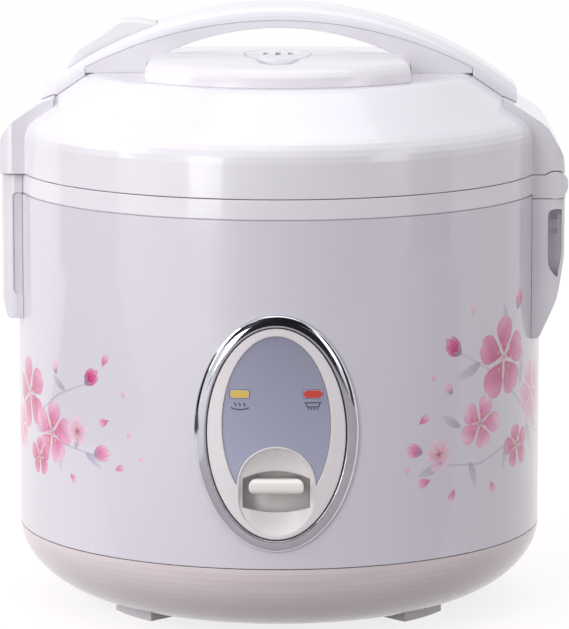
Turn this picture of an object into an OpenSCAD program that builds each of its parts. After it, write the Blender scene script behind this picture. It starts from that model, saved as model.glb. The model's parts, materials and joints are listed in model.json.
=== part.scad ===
// Jar rice cooker with a hinged lid: painted sleeve, plastic rings and bowl, arched lid handle.
// The cooker stands on z = 0, its front faces -Y, the lid hinge is on +X and the latch on -X.

/* [Body] */
// Outer diameter of the sleeve, the upper ring and the lid band
body_d = 262; // [254:1:272]
// Height of the base floor above the table
floor_z = 2.8; // [2:0.1:5]
// Height of the base bowl above its floor
bowl_h = 38.2; // [34:0.2:42]
// Height of the painted sleeve
sleeve_h = 169; // [164:1:176]
// Height of the upper ring's visible band
ring_h = 9.5; // [9:0.5:12]
// Gap that shows as a dark seam between two shells
seam = 0.5; // [0.3:0.1:0.8]
// Wall of the plastic shells
wall = 2.5; // [2:0.1:3]
// Thickness of the painted sleeve
sleeve_t = 0.8; // [0.6:0.1:1.2]

/* [Feet] */
// Distance of the feet inside the body's outside
foot_in = 40.5; // [37:0.5:44]
// Radial width of a foot
foot_w = 18; // [16:0.5:20]
// Angle that one foot takes up
foot_angle = 20; // [16:1:24]
// Angle of the front feet from the X axis
foot_at = 36; // [30:1:42]

/* [Lid] */
// Height of the lid's upright band
lid_band_h = 24; // [20:0.5:26]
// Height of the lid's sloping crown above the band
crown_h = 24.5; // [22:0.5:27]
// Horizontal width of the sloping crown
slope_w = 35; // [33:0.5:39]
// Rounding between the band and the slope
shoulder_r = 13; // [8:1:16]

/* [Raised deck on the lid] */
// Gap between the deck's ends and the handle's legs
deck_gap = 0.7; // [0.5:0.1:1.5]
// Distance of the deck's front edge inside the flat top's edge
deck_edge = 5; // [4:0.5:7]
// Height of the deck's front bank above the lid's flat top
deck_h = 13.2; // [12:0.2:14]
// Height of the deck's finger channel above the lid's flat top
channel_h = 3.4; // [3:0.2:5]
// Radius of the deck's upper front edge
deck_round = 9; // [6:0.5:10]

/* [Handle] */
// Distance of the handle's end faces inside the body's outside
handle_in = 13; // [12:0.5:15]
// Length of each handle leg on the lid's flat top
leg_len = 30.5; // [28:0.5:33]
// Height of the handle's top above the lid's flat top
handle_rise = 33.5; // [31:0.5:36]
// Width of the handle
handle_w = 39; // [36:1:40]
// Thickness of the handle's cover at its highest point
cover_t = 7.3; // [6.5:0.1:8]
// Thickness of the handle at its highest point
handle_t = 11; // [10.5:0.1:12]
// Height of the cover's end face
handle_end_t = 6.5; // [5:0.5:8]

/* [Ears] */
// Reach of the lid's hinge ear beyond the body
hinge_reach = 10.8; // [10:0.2:11.6]
// Reach of the lid's latch ear beyond the body
latch_reach = 7.6; // [7.4:0.1:8.4]
// Half width of the hinge ears
hinge_half_w = 38.5; // [37:0.5:40]
// Half width of the lid's latch ear
latch_half_w = 38.5; // [37:0.5:40]
// Corner rounding of the ears in plan
ear_r = 7; // [5:0.5:8]
// Length of the hinge ear's body below the ring
hinge_ear_h = 70; // [68:1:76]
// Length of the latch ear's body
latch_ear_h = 72; // [68:1:76]

/* [Hinge] */
// Distance of the hinge axis outside the body
hinge_out = 5.7; // [5.2:0.1:6]
// Depth of the hinge axis below the lid seam
hinge_drop = 5; // [4.6:0.1:5.4]
// Radius of the ring's knuckles
knuckle_r = 6.8; // [6:0.1:7]
// Half width of the lid's hinge lugs
lug_half_w = 11.6; // [11:0.2:12]
// Diameter of the hinge pin
hinge_pin_d = 5; // [4:0.5:6]

/* [Latch] */
// Travel of the release button
button_travel = 2.5; // [2:0.1:3]
// Half width of the release button
button_half_w = 14; // [12:0.5:14.5]
// Diameter of the latch pin
latch_pin_d = 4; // [3:0.5:5]
// Width of the latch hook
latch_w = 16; // [12:1:18]

/* [Front panel] */
// Height of the trim ring's centre above the sleeve's lower edge
panel_up = 66; // [64:0.5:70]
// Width of the trim ring
trim_w = 79; // [76:0.5:82]
// Height of the trim ring
trim_h = 115; // [112:0.5:118]
// Width of the trim ring's band
trim_band = 5.9; // [5:0.1:6.5]
// Proudness of the trim ring over the sleeve
trim_proud = 3; // [2.5:0.1:3.5]
// Width of the tinted plate
plate_w = 51.6; // [50:0.2:53]
// Height of the tinted plate's full oval
plate_h = 85.8; // [84:0.2:88]
// Width of one indicator lens
lens_w = 9.3; // [8:0.1:10]
// Height of one indicator lens
lens_h = 4; // [3:0.1:5]
// Distance of each lens from the middle
lens_x = 17.5; // [16:0.1:18]

/* [Cook switch] */
// Width of the switch bar
bar_w = 26.4; // [24:0.2:28]
// Height of the switch bar
bar_h = 7.3; // [6:0.1:8]
// Swing of the cooking lever
lever_swing = 5; // [3:0.5:5]
// Width of the steel lever
lever_w = 15; // [12:1:16]
// Thickness of the steel lever
lever_t = 2; // [1.5:0.1:2.5]
// Distance of the lever's pivot inside the heating element
pivot_in = 16; // [12:1:20]
// Diameter of the lever's pivot pin
lever_pin_d = 4; // [3:0.5:5]

/* [Pot and heater] */
// Space between the inner pot's wall and the body's outside
jacket = 23.5; // [23:0.5:28]
// Wall of the inner pot
pot_t = 1.5; // [1.2:0.1:2]
// Width of the inner pot's rim flange
pot_rim = 9; // [8:0.5:9.5]
// Rounding of the inner pot's lower edge
pot_corner = 24; // [18:1:28]
// Distance of the heating plate's edge inside the pot's wall
plate_in = 25.5; // [23:0.5:30]
// Thickness of the heating plate
plate_t = 10; // [9:0.5:12]
// Height of the heating plate's top above the base floor
plate_up = 65.2; // [64:0.2:66]
// Distance of the heating element inside the plate's edge
element_in = 24; // [21:1:27]
// Radius of the heating element's tube
element_tube = 4; // [3.5:0.1:4.5]
// Diameter of the temperature sensor's cap
sensor_d = 30; // [28:0.5:31]
// Travel of the sprung sensor cap
sensor_travel = 1.5; // [1:0.1:2]

/* [Steam vent] */
// Diameter of the steam cap
cap_d = 32; // [30:0.5:34]
// Distance of the steam cap's centre behind the deck's front edge
cap_back = 40; // [39:0.5:42]
// Bore of the steam duct
duct_d = 18; // [16:0.5:20]

/* [Drip cup] */
// Width of the drip cup
cup_w = 62; // [58:1:66]
// Height of the drip cup
cup_h = 37; // [34:0.5:38]
// Height of the drip cup's floor above the hinge ear's tip
cup_up = 28; // [26:0.5:29]

/* [Power inlet] */
// Width of the inlet's face frame
inlet_w = 42; // [40:0.5:46]
// Height of the inlet's face frame
inlet_h = 29; // [28:0.5:32]
// Width of the inlet's socket
socket_w = 27; // [26:0.5:30]
// Height of the inlet's socket
socket_h = 18; // [17:0.5:20]

/* [Fits] */
// Gap between neighbouring parts that are fitted together
fit = 0.2; // [0.15:0.05:0.3]
// Gap between parts that move past each other
slip = 0.3; // [0.3:0.05:0.5]
// Radial gap of a pin in its bore
pin_fit = 0.05; // [0.02:0.01:0.1]

/* [Hidden] */
$fn = 96;
round_fn = 360;
eps = 0.01;
reach = 400;

R = body_d / 2;
z_bowl = floor_z + bowl_h;
z_ring = z_bowl + sleeve_h;
z_lid = z_ring + ring_h;
z_band = z_lid + lid_band_h;
z_crown = z_band + crown_h;
z_deck = z_crown + deck_h;
z_top = z_crown + handle_rise;
z_panel = z_bowl + panel_up;
z_plate = floor_z + plate_up;
z_rim = z_ring - 2.5;

hinge_x = R + hinge_out;
hinge_z = z_lid - hinge_drop;

pot_r = R - jacket;
plate_r = pot_r - plate_in;
element_r = plate_r - element_in;
lever_back = element_r - pivot_in;
crown_r = R - slope_w;
foot_r = R - foot_in;
leg_in = crown_r - leg_len;
deck_half_w = leg_in - deck_gap;
deck_front = crown_r - deck_edge;
cap_front = deck_front - cap_back;
handle_half = R - handle_in;

bowl_curve = 57;
bowl_flat_r = R - bowl_curve;
bowl_power = 1.93;
flange_t = 1;
housing_gap = 5;
housing_t = 0.8;
ledge_t = 2;
housing_r = pot_r + housing_gap;
rim_r = pot_r + pot_rim;
funnel_r = rim_r + 2.1;
z_ledge = z_rim - 2 - seam;

// ---------- outlines ----------

// Corner of a polygon at b, between a and c, as an arc of radius r
function corner(a, b, c, r) =
    let (u = (a - b) / norm(a - b), v = (c - b) / norm(c - b))
    let (half = acos(max(-1, min(1, u * v))) / 2)
    let (n = ceil((90 - half) / 90 * (5 + r / 2)))
    let (m = (u + v) / norm(u + v), centre = b + m * r / sin(half))
    let (p = b + u * r / tan(half) - centre, q = b + v * r / tan(half) - centre)
    let (from = atan2(p.y, p.x), turn = atan2(p.x * q.y - p.y * q.x, p * q))
    [for (i = [0:n]) centre + r * [cos(from + turn * i / n), sin(from + turn * i / n)]];

// Polygon points from a list of [x, y, corner radius]
function rounded(pts) =
    let (k = len(pts))
    [for (i = [0:k - 1])
        let (a = pts[(i + k - 1) % k], b = pts[i], c = pts[(i + 1) % k])
        each b.z > 0
            ? corner([a.x, a.y], [b.x, b.y], [c.x, c.y], b.z)
            : [[b.x, b.y]]];

// Points of an oval with half axes a and b
function oval(a, b, n = 96) = [for (i = [0:n - 1]) [a * cos(360 * i / n), b * sin(360 * i / n)]];

// Radius of the circle through the middle and the ends of an arc of half chord c and height h
function arc_radius(c, h) = (c * c + h * h) / (2 * h);

// Height of the circle of radius r, whose highest point is at z, at distance x
function arc_z(x, r, z) = z - r + sqrt(r * r - x * x);

// Extrudes an outline drawn in X and Z, centred on the XZ plane
module along_y(w) rotate([90, 0, 0]) translate([0, 0, -w / 2]) linear_extrude(w) children();

// Extrudes an outline drawn in Y and Z, centred on the YZ plane
module along_x(w) rotate([90, 0, 90]) translate([0, 0, -w / 2]) linear_extrude(w) children();

// Cylinders along X and along Y
module rod_x(r, len) along_x(len) circle(r = r);
module rod_y(r, len) along_y(len) circle(r = r);

// Upright tube
module tube(r_out, r_in, h) difference() {
    cylinder(r = r_out, h = h);
    translate([0, 0, -1]) cylinder(r = r_in, h = h + 2);
}

// Box from its lowest to its highest corner
module span(a, b) translate(a) cube(b - a);

// Wire coil standing on z = 0, with its axis on Z
module coil(r, wire, h, turns, sides = 6, steps = 14) {
    n = round(turns * steps);
    points = [for (i = [0:n]) let (a = 360 * turns * i / n, z = wire + (h - 2 * wire) * i / n)
        for (j = [0:sides - 1]) let (b = 360 * j / sides, q = r - wire + wire * cos(b))
            [q * cos(a), q * sin(a), z + wire * sin(b)]];
    walls = [for (i = [0:n - 1], j = [0:sides - 1]) let (k = (j + 1) % sides)
        [i * sides + j, (i + 1) * sides + j, (i + 1) * sides + k, i * sides + k]];
    start = [for (j = [0:sides - 1]) j];
    finish = [for (j = [sides - 1:-1:0]) n * sides + j];
    polyhedron(points, concat([start], walls, [finish]));
}

// ---------- shells of revolution ----------

// Half outline of the base bowl, drawn in radius and height
function bowl_outline(inset, top) =
    let (a = R - bowl_flat_r - inset, b = bowl_h - inset, n = 18)
    concat([[0, floor_z + inset]],
        [for (i = [0:n]) let (t = 90 * i / n)
            [bowl_flat_r + a * pow(sin(t), 2 / bowl_power),
             z_bowl - b * pow(cos(t), 2 / bowl_power)]],
        [[R - inset, top], [0, top]]);

module bowl(inset = 0, top = z_bowl - seam) rotate_extrude() polygon(bowl_outline(inset, top));

// Outline of the lid in radius and height, drawn in by an even inset
function lid_outline(inset, bottom) = rounded([
    [0, bottom, 0], [R - inset, bottom, 0],
    [R - inset, z_band - inset / 3, shoulder_r - inset],
    [crown_r - inset / 4, z_crown - inset, 10], [0, z_crown - inset, 0]]);

module lid_solid(inset = 0, bottom = z_lid + 0.4) rotate_extrude() polygon(lid_outline(inset, bottom));

// ---------- base ----------

leg_angles = [90, 210, 330];
leg_lip = 15;
leg_r = plate_r - leg_lip;
foot_angles = [foot_at, 180 - foot_at, 180 + foot_at, -foot_at];
screw_r = 1.6;
screw_head_r = 3.2;
screw_sink = 1.6;
leg_foot_in = 12;
leg_screw_r = leg_r - leg_foot_in / 2;
foot_peg_r = 3;
peg_at = foot_r - foot_w + 5;
vent_slots = 14;
vent_r = 28;
vent_len = 15;
vent_w = 3.2;
spigot_h = 6;
sleeve_in = R - sleeve_t - fit;

module base_shell() color([0.93, 0.91, 0.93]) difference() {
    union() {
        difference() {
            bowl();
            bowl(wall, z_bowl + 1);
        }
        translate([0, 0, z_bowl - spigot_h]) tube(sleeve_in, sleeve_in - 2, 2 * spigot_h);
        for (a = leg_angles) rotate(a) translate([leg_screw_r, 0, floor_z + wall])
            cylinder(r = 5, h = 1);
    }
    for (i = [0:vent_slots - 1]) rotate(360 * (i + 0.5) / vent_slots)
        translate([vent_r, -vent_w / 2, floor_z - 1]) cube([vent_len, vent_w, wall + 2]);
    for (a = leg_angles) rotate(a) translate([leg_screw_r, 0, 0]) {
        cylinder(r = screw_r + fit, h = floor_z + wall + 3);
        cylinder(r = screw_head_r + fit, h = floor_z + screw_sink);
    }
    for (a = foot_angles) rotate(a) translate([peg_at, 0, 0])
        cylinder(r = foot_peg_r + fit, h = floor_z + wall + 3);
}

module feet() color([0.86, 0.84, 0.86]) for (a = foot_angles) rotate(a) {
    difference() {
        intersection() {
            tube(foot_r, foot_r - foot_w, floor_z + 6);
            linear_extrude(floor_z + 6) polygon([[0, 0],
                reach * [cos(foot_angle / 2), -sin(foot_angle / 2)],
                reach * [cos(foot_angle / 2), sin(foot_angle / 2)]]);
        }
        translate([0, 0, -fit]) bowl();
    }
    translate([peg_at, 0, 1]) cylinder(r = foot_peg_r, h = floor_z + wall + 1);
}

panel_cut_w = trim_w - 2 * trim_band - 3;
panel_cut_h = trim_h - 2 * trim_band - 3;
latch_slot_half = latch_w / 2 + 4.5;
latch_slot_x = R - 4.6;
latch_slot_z = z_ring - 10;

module body_sleeve() color([0.88, 0.87, 0.94]) difference() {
    translate([0, 0, z_bowl]) tube(R, R - sleeve_t, sleeve_h - seam);
    translate([0, -R, z_panel]) along_y(60) polygon(oval(panel_cut_w / 2, panel_cut_h / 2));
    span([-socket_w / 2 - 3, R - 20, 0], [socket_w / 2 + 3, R + 10, z_bowl + inlet_h + 2]);
    span([-R - 5, -latch_slot_half, latch_slot_z], [-latch_slot_x, latch_slot_half, z_lid]);
}

catch_reach = 4.4;
catch_t = 4.5;

// Ring's own parts of revolution: band, funnel, pot ledge and the spigot in the sleeve
module ring_profile() rotate_extrude() polygon([
    [R, z_ring], [R, z_lid], [R - 5, z_lid], [funnel_r, z_ring - 2], [funnel_r, z_ledge],
    [housing_r - 2.5, z_ledge], [housing_r - 2.5, z_ledge - ledge_t],
    [funnel_r + 2.4, z_ledge - ledge_t], [funnel_r + 2.4, z_ring - 2.8], [R - 4.4, z_lid - 3.2],
    [sleeve_in - 2, z_lid - 3.2], [sleeve_in - 2, z_ring - spigot_h],
    [sleeve_in, z_ring - spigot_h], [sleeve_in, z_ring]]);

// Plan of a hinge ear of half width w, out to the distance x
module hinge_plan(x, w) polygon(rounded([[R - 20, -w, 0], [x, -w, ear_r], [x, w, ear_r],
    [R - 20, w, 0]]));

module upper_ring() color([0.92, 0.90, 0.92]) difference() {
    union() {
        ring_profile();
        difference() {
            intersection() {
                along_y(2 * hinge_half_w) union() {
                    translate([hinge_x, hinge_z]) circle(r = knuckle_r);
                    translate([R - 9, z_ring - 2]) square([9 + hinge_reach, hinge_z - z_ring + 2]);
                    translate([R - 9, z_ring - 2]) square([9 + hinge_out, ring_h + 2]);
                }
                linear_extrude(z_lid + 10) hinge_plan(hinge_x + knuckle_r, hinge_half_w);
            }
            translate([0, 0, z_ring - 10]) cylinder(r = R - 2, h = ring_h + 20);
            translate([0, 0, z_ring - 10]) cylinder(r = R + 0.1, h = 10, $fn = round_fn);
        }
        intersection() {
            ring_profile_hull();
            span([-latch_slot_x + eps, -latch_slot_half - 1, z_lid - 10.5],
                [-R + 8.8, latch_slot_half + 1, z_lid - 10.5 + catch_t]);
        }
    }
    span([R - 1.1, -lug_half_w - 0.4, z_ring - 3], [R + 30, lug_half_w + 0.4, z_lid + 20]);
    translate([hinge_x, 0, hinge_z]) rod_y(hinge_pin_d / 2 + pin_fit, 2 * hinge_half_w - 3);
    span([-R - 5, -latch_slot_half, latch_slot_z - 1], [-latch_slot_x, latch_slot_half, z_lid + 5]);
}

// Space between the ring's funnel and band, which the latch's catch fills
module ring_profile_hull() rotate_extrude() polygon([
    [R, z_ring - 2], [R, z_lid], [R - 5, z_lid], [funnel_r, z_ring - 2]]);

// ---------- hinge side ----------

hinge_tip_z = z_ring - 2 - hinge_ear_h;

// Outline of the hinge ear's body in X and Z, drawn in by an inset
function hinge_ear_outline(inset = 0) = rounded([
    [R - 12, hinge_tip_z + inset, 0], [R - 2, hinge_tip_z + inset, 3],
    [R + 0.65 * hinge_reach - inset, hinge_tip_z + 20, 30],
    [R + hinge_reach - inset, hinge_tip_z + 42, 40],
    [R + hinge_reach - inset, z_ring - 2.4, 0], [R - 12, z_ring - 2.4, 0]]);

cup_z = hinge_tip_z + cup_up;
ear_rim = 1.8;
cup_t = 1.5;
drain_w = 14;

module hinge_ear() color([0.92, 0.90, 0.92]) difference() {
    intersection() {
        along_y(2 * hinge_half_w) polygon(hinge_ear_outline());
        linear_extrude(z_lid) hinge_plan(R + hinge_reach, hinge_half_w);
    }
    translate([0, 0, hinge_tip_z - 10]) cylinder(r = R + 0.1, h = hinge_ear_h + 30, $fn = round_fn);
    span([R - 20, -cup_w / 2 - slip, cup_z - slip], [R + 40, cup_w / 2 + slip, cup_z + cup_h + slip]);
    along_y(3 * hinge_half_w) intersection() {
        polygon(hinge_ear_outline(ear_rim));
        polygon(rounded([[R + 2.2, cup_z, 12], [R + hinge_reach, cup_z, 3],
            [R + hinge_reach, cup_z + cup_h - 0.5, 3], [R + 2.2, cup_z + cup_h - 0.5, 3]]));
    }
    intersection() {
        along_y(2 * (hinge_half_w - wall)) polygon(hinge_ear_outline(wall));
        span([R - 30, -hinge_half_w, 0], [R + hinge_reach, hinge_half_w, cup_z - wall]);
    }
    span([R + 3, -drain_w / 2, cup_z + cup_h - 5], [R + 7, drain_w / 2, z_ring]);
}

module hinge_pin() color([0.7, 0.7, 0.72]) translate([hinge_x, 0, hinge_z])
    rod_y(hinge_pin_d / 2, 2 * hinge_half_w - 4);

spring_half = 4.2;

module hinge_spring() color([0.6, 0.6, 0.62]) translate([hinge_x, -spring_half, hinge_z])
    rotate([-90, 0, 0]) coil(hinge_pin_d / 2 + 1.5, 0.6, 2 * spring_half, 5);

module drip_cup() color([0.80, 0.82, 0.92]) difference() {
    intersection() {
        along_y(cup_w) intersection() {
            polygon(hinge_ear_outline());
            translate([R - 10, cup_z]) square([60, cup_h]);
        }
        linear_extrude(z_lid) hinge_plan(R + hinge_reach, hinge_half_w);
    }
    translate([0, 0, cup_z - 10]) cylinder(r = R + 0.7, h = cup_h + 20, $fn = round_fn);
    difference() {
        along_y(cup_w - 2 * cup_t) intersection() {
            polygon(hinge_ear_outline(cup_t));
            translate([R - 15, cup_z + cup_t]) square([60, cup_h]);
        }
        translate([0, 0, cup_z - 10]) cylinder(r = R + 0.7 + cup_t, h = cup_h + 20,
            $fn = round_fn);
    }
    for (z = [cup_h - 5, cup_h - 12], s = [-1, 1])
        translate([R + 5.2, s * cup_w / 2, cup_z + z]) cube([3.4, cup_t, 2.4], center = true);
}

// ---------- latch side ----------

latch_top = z_lid - seam;
latch_tip_z = latch_top - latch_ear_h;
latch_out = latch_reach - 1;
latch_side = latch_half_w - 5;

// Outline of the latch ear's body in X and Z, drawn in by an inset
function latch_ear_outline(inset = 0) = rounded([
    [-R + 12, latch_tip_z + inset, 0], [-R - 0.6 * latch_out + inset, latch_tip_z + inset, 3],
    [-R - latch_out + inset, latch_tip_z + 11, 14], [-R - latch_out + inset, latch_top - inset, 1],
    [-R + 12, latch_top - inset, 0]]);

module latch_ear() color([0.92, 0.90, 0.92]) difference() {
    intersection() {
        along_y(2 * latch_side) polygon(latch_ear_outline());
        mirror([1, 0, 0]) linear_extrude(z_lid) hinge_plan(R + latch_out, latch_side);
    }
    translate([0, 0, latch_tip_z - 10]) cylinder(r = R + 0.1, h = latch_ear_h + 30, $fn = round_fn);
    span([-R - latch_out + 1.7, -latch_slot_half, latch_slot_z - 6],
        [-R + 10, latch_slot_half, z_lid + 1]);
    intersection() {
        along_y(2 * (latch_side - wall)) polygon(latch_ear_outline(wall));
        union() {
            for (s = [0, 1]) mirror([0, s, 0])
                span([-R - latch_out, latch_slot_half + 1.5, 0], [-R + 30, latch_side, z_lid]);
            span([-R - latch_out, -latch_side, 0], [-R + 30, latch_side, latch_slot_z - 8]);
        }
    }
    for (s = [-1, 1]) translate([0, s * latch_side, 0])
        along_y(wall) polygon(rounded([[-R - 0.6, latch_tip_z + 12, 3], [-R + 12, latch_tip_z + 12, 0],
            [-R + 12, latch_top - 9, 0], [-R - 0.6, latch_top - 9, 2]]));
}

// ---------- inner can, heater and sensor ----------

z_can = z_plate - plate_t - 4;
can_hole_r = plate_r + 4;
z_collar = z_ledge - ledge_t - fit;

module inner_housing() color([0.72, 0.73, 0.75]) rotate_extrude() polygon([
    [can_hole_r, z_can], [housing_r + housing_t, z_can],
    [housing_r + housing_t, z_collar - flange_t], [funnel_r + 1, z_collar - flange_t],
    [funnel_r + 1, z_collar], [housing_r, z_collar], [housing_r, z_can + flange_t],
    [can_hole_r, z_can + flange_t]]);

band_heater_h = 22;

module side_heater() color([0.55, 0.45, 0.35]) difference() {
    translate([0, 0, z_plate + 64]) tube(housing_r + housing_t + fit + 1.4,
        housing_r + housing_t + fit, band_heater_h);
    span([-6, 60, 0], [6, R, z_lid]);
}

lug_w = 14;
sensor_hole_r = sensor_d / 2 + 1.8;

module heating_plate() color([0.78, 0.78, 0.80]) difference() {
    union() {
        translate([0, 0, z_plate - plate_t]) rotate_extrude() polygon(rounded([
            [0, 0, 0], [plate_r, 0, 0], [plate_r, plate_t - 3, 4],
            [plate_r - 16, plate_t, 20], [0, plate_t, 0]]));
        for (a = leg_angles) rotate(a)
            translate([plate_r - 12, -lug_w / 2, z_can]) cube([8, lug_w, plate_t]);
    }
    translate([0, 0, z_plate - plate_t - 1]) cylinder(r = sensor_hole_r, h = plate_t + 2);
    translate([0, 0, z_plate - plate_t]) rotate_extrude()
        translate([element_r, 0]) circle(r = element_tube + 0.1);
    for (a = leg_angles) rotate(a) translate([plate_r - 8, 0, z_can - 1])
        cylinder(r = screw_r + fit, h = 8);
}

element_gap = 10;
terminal_len = 14;

module heating_element() color([0.45, 0.45, 0.48]) {
    translate([0, 0, z_plate - plate_t]) rotate([0, 0, 90 + element_gap]) {
        rotate_extrude(angle = 360 - 2 * element_gap) translate([element_r, 0])
            circle(r = element_tube, $fn = 24);
        for (a = [0, -2 * element_gap]) rotate(a) translate([element_r, 0, -terminal_len])
            cylinder(r = element_tube / 2, h = terminal_len, $fn = 24);
    }
}

leg_t = 1.6;
z_foot = floor_z + wall + 1;

module plate_legs() color([0.70, 0.70, 0.72]) for (a = leg_angles) rotate(a) difference() {
    rotate([90, 0, 0]) translate([0, 0, -lug_w / 2]) linear_extrude(lug_w) polygon([
        [leg_r - leg_foot_in, z_foot], [leg_r + leg_t, z_foot],
        [leg_r + leg_t, z_can - leg_t], [can_hole_r + 8, z_can - leg_t],
        [can_hole_r + 8, z_can], [leg_r, z_can],
        [leg_r, z_foot + leg_t], [leg_r - leg_foot_in, z_foot + leg_t]]);
    translate([leg_screw_r, 0, z_foot - 1]) cylinder(r = screw_r + fit, h = 5);
    translate([plate_r - 8, 0, z_can - 5]) cylinder(r = screw_r + fit, h = 8);
}

module chassis_screws() color([0.6, 0.6, 0.62]) for (a = leg_angles) rotate(a) {
    translate([leg_screw_r, 0, floor_z]) {
        cylinder(r = screw_head_r, h = screw_sink);
        cylinder(r = screw_r, h = wall + 1 + leg_t + 2);
    }
    translate([plate_r - 8, 0, z_can - leg_t]) {
        translate([0, 0, -screw_sink]) cylinder(r = screw_head_r, h = screw_sink);
        cylinder(r = screw_r, h = 6);
    }
}

skirt_r = sensor_d / 2 - 3;
skirt_t = 0.8;
seat_t = 1.5;
cap_t = 4;
skirt_below = 2;

module sensor_seat() color([0.66, 0.66, 0.68]) translate([0, 0, z_plate - plate_t - seat_t])
    tube(sensor_hole_r + 7, skirt_r + skirt_t + slip, seat_t);

module sensor_spring() color([0.6, 0.6, 0.62]) translate([0, 0, z_plate - plate_t])
    coil(sensor_d / 2 - 0.2, 0.6, plate_t - cap_t, 3);

module sensor_cap() color([0.80, 0.80, 0.82]) translate([0, 0, z_plate]) {
    difference() {
        translate([0, 0, -cap_t]) cylinder(r = sensor_d / 2, h = cap_t);
        translate([0, 0, -0.6]) tube(sensor_d / 2 - 2, sensor_d / 2 - 2.8, 2);
    }
    translate([0, 0, -plate_t - seat_t - skirt_below])
        tube(skirt_r + skirt_t, skirt_r, plate_t + seat_t + skirt_below - cap_t + 0.5);
}

magnet_lift = lever_back * sin(lever_swing);
magnet_t = 4;
z_lever = z_plate - 20;
collar_gap = 0.5;
z_magnet = z_plate - cap_t - 0.4 - sensor_travel - magnet_lift - magnet_t;

module magnet_carrier() color([0.35, 0.35, 0.38]) {
    translate([0, 0, z_magnet]) cylinder(r = skirt_r - slip, h = magnet_t);
    translate([0, 0, z_lever - 6]) cylinder(r = 2, h = z_magnet - z_lever + 6);
    translate([0, 0, z_lever + lever_t + collar_gap]) cylinder(r = 5, h = 1.5);
}

// ---------- cooking lever ----------

pivot = [0, -lever_back, z_lever + lever_t];
hub_r = lever_pin_d / 2 + 2;
fork_r = 3;
lever_tail = 6;
riser_in = 14.5;
riser_y = riser_in - R;
bar_drop = 25.5;
bar_z = z_panel - bar_drop;
apron_h = 31;
apron_z = bar_z - apron_h / 2;
apron_t = 1.5;
apron_side = 3.3;
stalk_half_w = 10;
stalk_half_h = 2.5;

module lever_bracket() color([0.66, 0.66, 0.68]) {
    cheek_x = lever_w / 2 + slip;
    for (s = [0, 1]) mirror([s, 0, 0]) difference() {
        translate([cheek_x + leg_t / 2, 0, 0]) along_x(leg_t) union() {
            translate([pivot.y, pivot.z]) circle(r = hub_r);
            translate([pivot.y - hub_r, pivot.z])
                square([2 * hub_r, z_plate - plate_t - pivot.z]);
        }
        translate([0, pivot.y, pivot.z]) rod_x(lever_pin_d / 2 + pin_fit, 4 * lever_w);
    }
    for (s = [0, 1]) mirror([s, 0, 0])
        span([cheek_x, pivot.y - hub_r, z_plate - plate_t - leg_t],
            [cheek_x + 8, pivot.y + hub_r, z_plate - plate_t]);
}

module lever_pin() color([0.7, 0.7, 0.72]) translate([0, pivot.y, pivot.z])
    rod_x(lever_pin_d / 2, lever_w + 2 * slip + 2 * leg_t + 2);

module cook_lever() color([0.72, 0.72, 0.74]) difference() {
    union() {
        span([-lever_w / 2, riser_y, z_lever], [lever_w / 2, lever_tail, z_lever + lever_t]);
        span([-lever_w / 2, riser_y - lever_t / 2, z_lever],
            [lever_w / 2, riser_y + lever_t / 2, apron_z + 0.87 * apron_h]);
        translate([0, pivot.y, pivot.z]) rod_x(hub_r, lever_w);
    }
    translate([0, pivot.y, pivot.z]) rod_x(lever_pin_d / 2 + pin_fit, lever_w + 2);
    translate([0, 0, z_lever - 1]) cylinder(r = fork_r, h = lever_t + 4);
    span([-fork_r, 0, z_lever - 1], [fork_r, 2 * lever_tail, z_lever + 2 * lever_t]);
}

bar_proud = 3.6;
bar_front = R + bar_proud;
bar_t = 4.6;
bar_edge = 0.36 * bar_h;
bar_end_r = 0.44 * bar_h;

module switch_knob() color([0.97, 0.96, 0.93]) {
    face_y = riser_y - lever_t / 2;
    span([-bar_w / 2 - apron_side, face_y - apron_t, apron_z],
        [bar_w / 2 + apron_side, face_y, apron_z + apron_h]);
    span([-stalk_half_w, -bar_front + bar_t - 1, bar_z - stalk_half_h],
        [stalk_half_w, face_y - apron_t + eps, bar_z + stalk_half_h]);
    intersection() {
        translate([0, 0, bar_z]) along_y(3 * R) polygon(rounded([
            [-bar_w / 2, -bar_h / 2, bar_end_r], [bar_w / 2, -bar_h / 2, bar_end_r],
            [bar_w / 2, bar_h / 2, bar_end_r], [-bar_w / 2, bar_h / 2, bar_end_r]]));
        translate([0, 0, bar_z]) along_x(bar_w) polygon(rounded([
            [-bar_front, -bar_h / 2, bar_edge], [-bar_front + bar_t, -bar_h / 2, 0],
            [-bar_front + bar_t, bar_h / 2, 0], [-bar_front, bar_h / 2, bar_edge]]));
    }
}

switch_y = -lever_back - 18;
plunger_top = z_lever - slip + (switch_y + lever_back) * sin(lever_swing);
switch_body_h = 12;
switch_z = plunger_top - 1.6 - switch_body_h;

module micro_switch() color([0.25, 0.25, 0.28]) {
    span([-3.5, switch_y - 10, switch_z], [3.5, switch_y + 10, switch_z + switch_body_h]);
    translate([0, switch_y, switch_z + 1]) cylinder(r = 1.4, h = plunger_top - switch_z - 1);
    span([3.5 - eps, switch_y - 8, floor_z + wall + fit], [3.5 + leg_t, switch_y + 8, switch_z + 9]);
    span([3.5, switch_y - 8, floor_z + wall + fit],
        [3.5 + 12, switch_y + 8, floor_z + wall + fit + leg_t]);
}

fuse_d = 4.8;
fuse_len = 26;
fuse_at = element_r - element_tube - 11.6;

module thermal_fuse() color([0.85, 0.85, 0.80]) rotate(45)
    translate([fuse_at, 0, z_plate - plate_t - fuse_d / 2 - fit]) rod_y(fuse_d / 2, fuse_len);

block_at = leg_r - 7;
block_pitch = 10;

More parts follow.
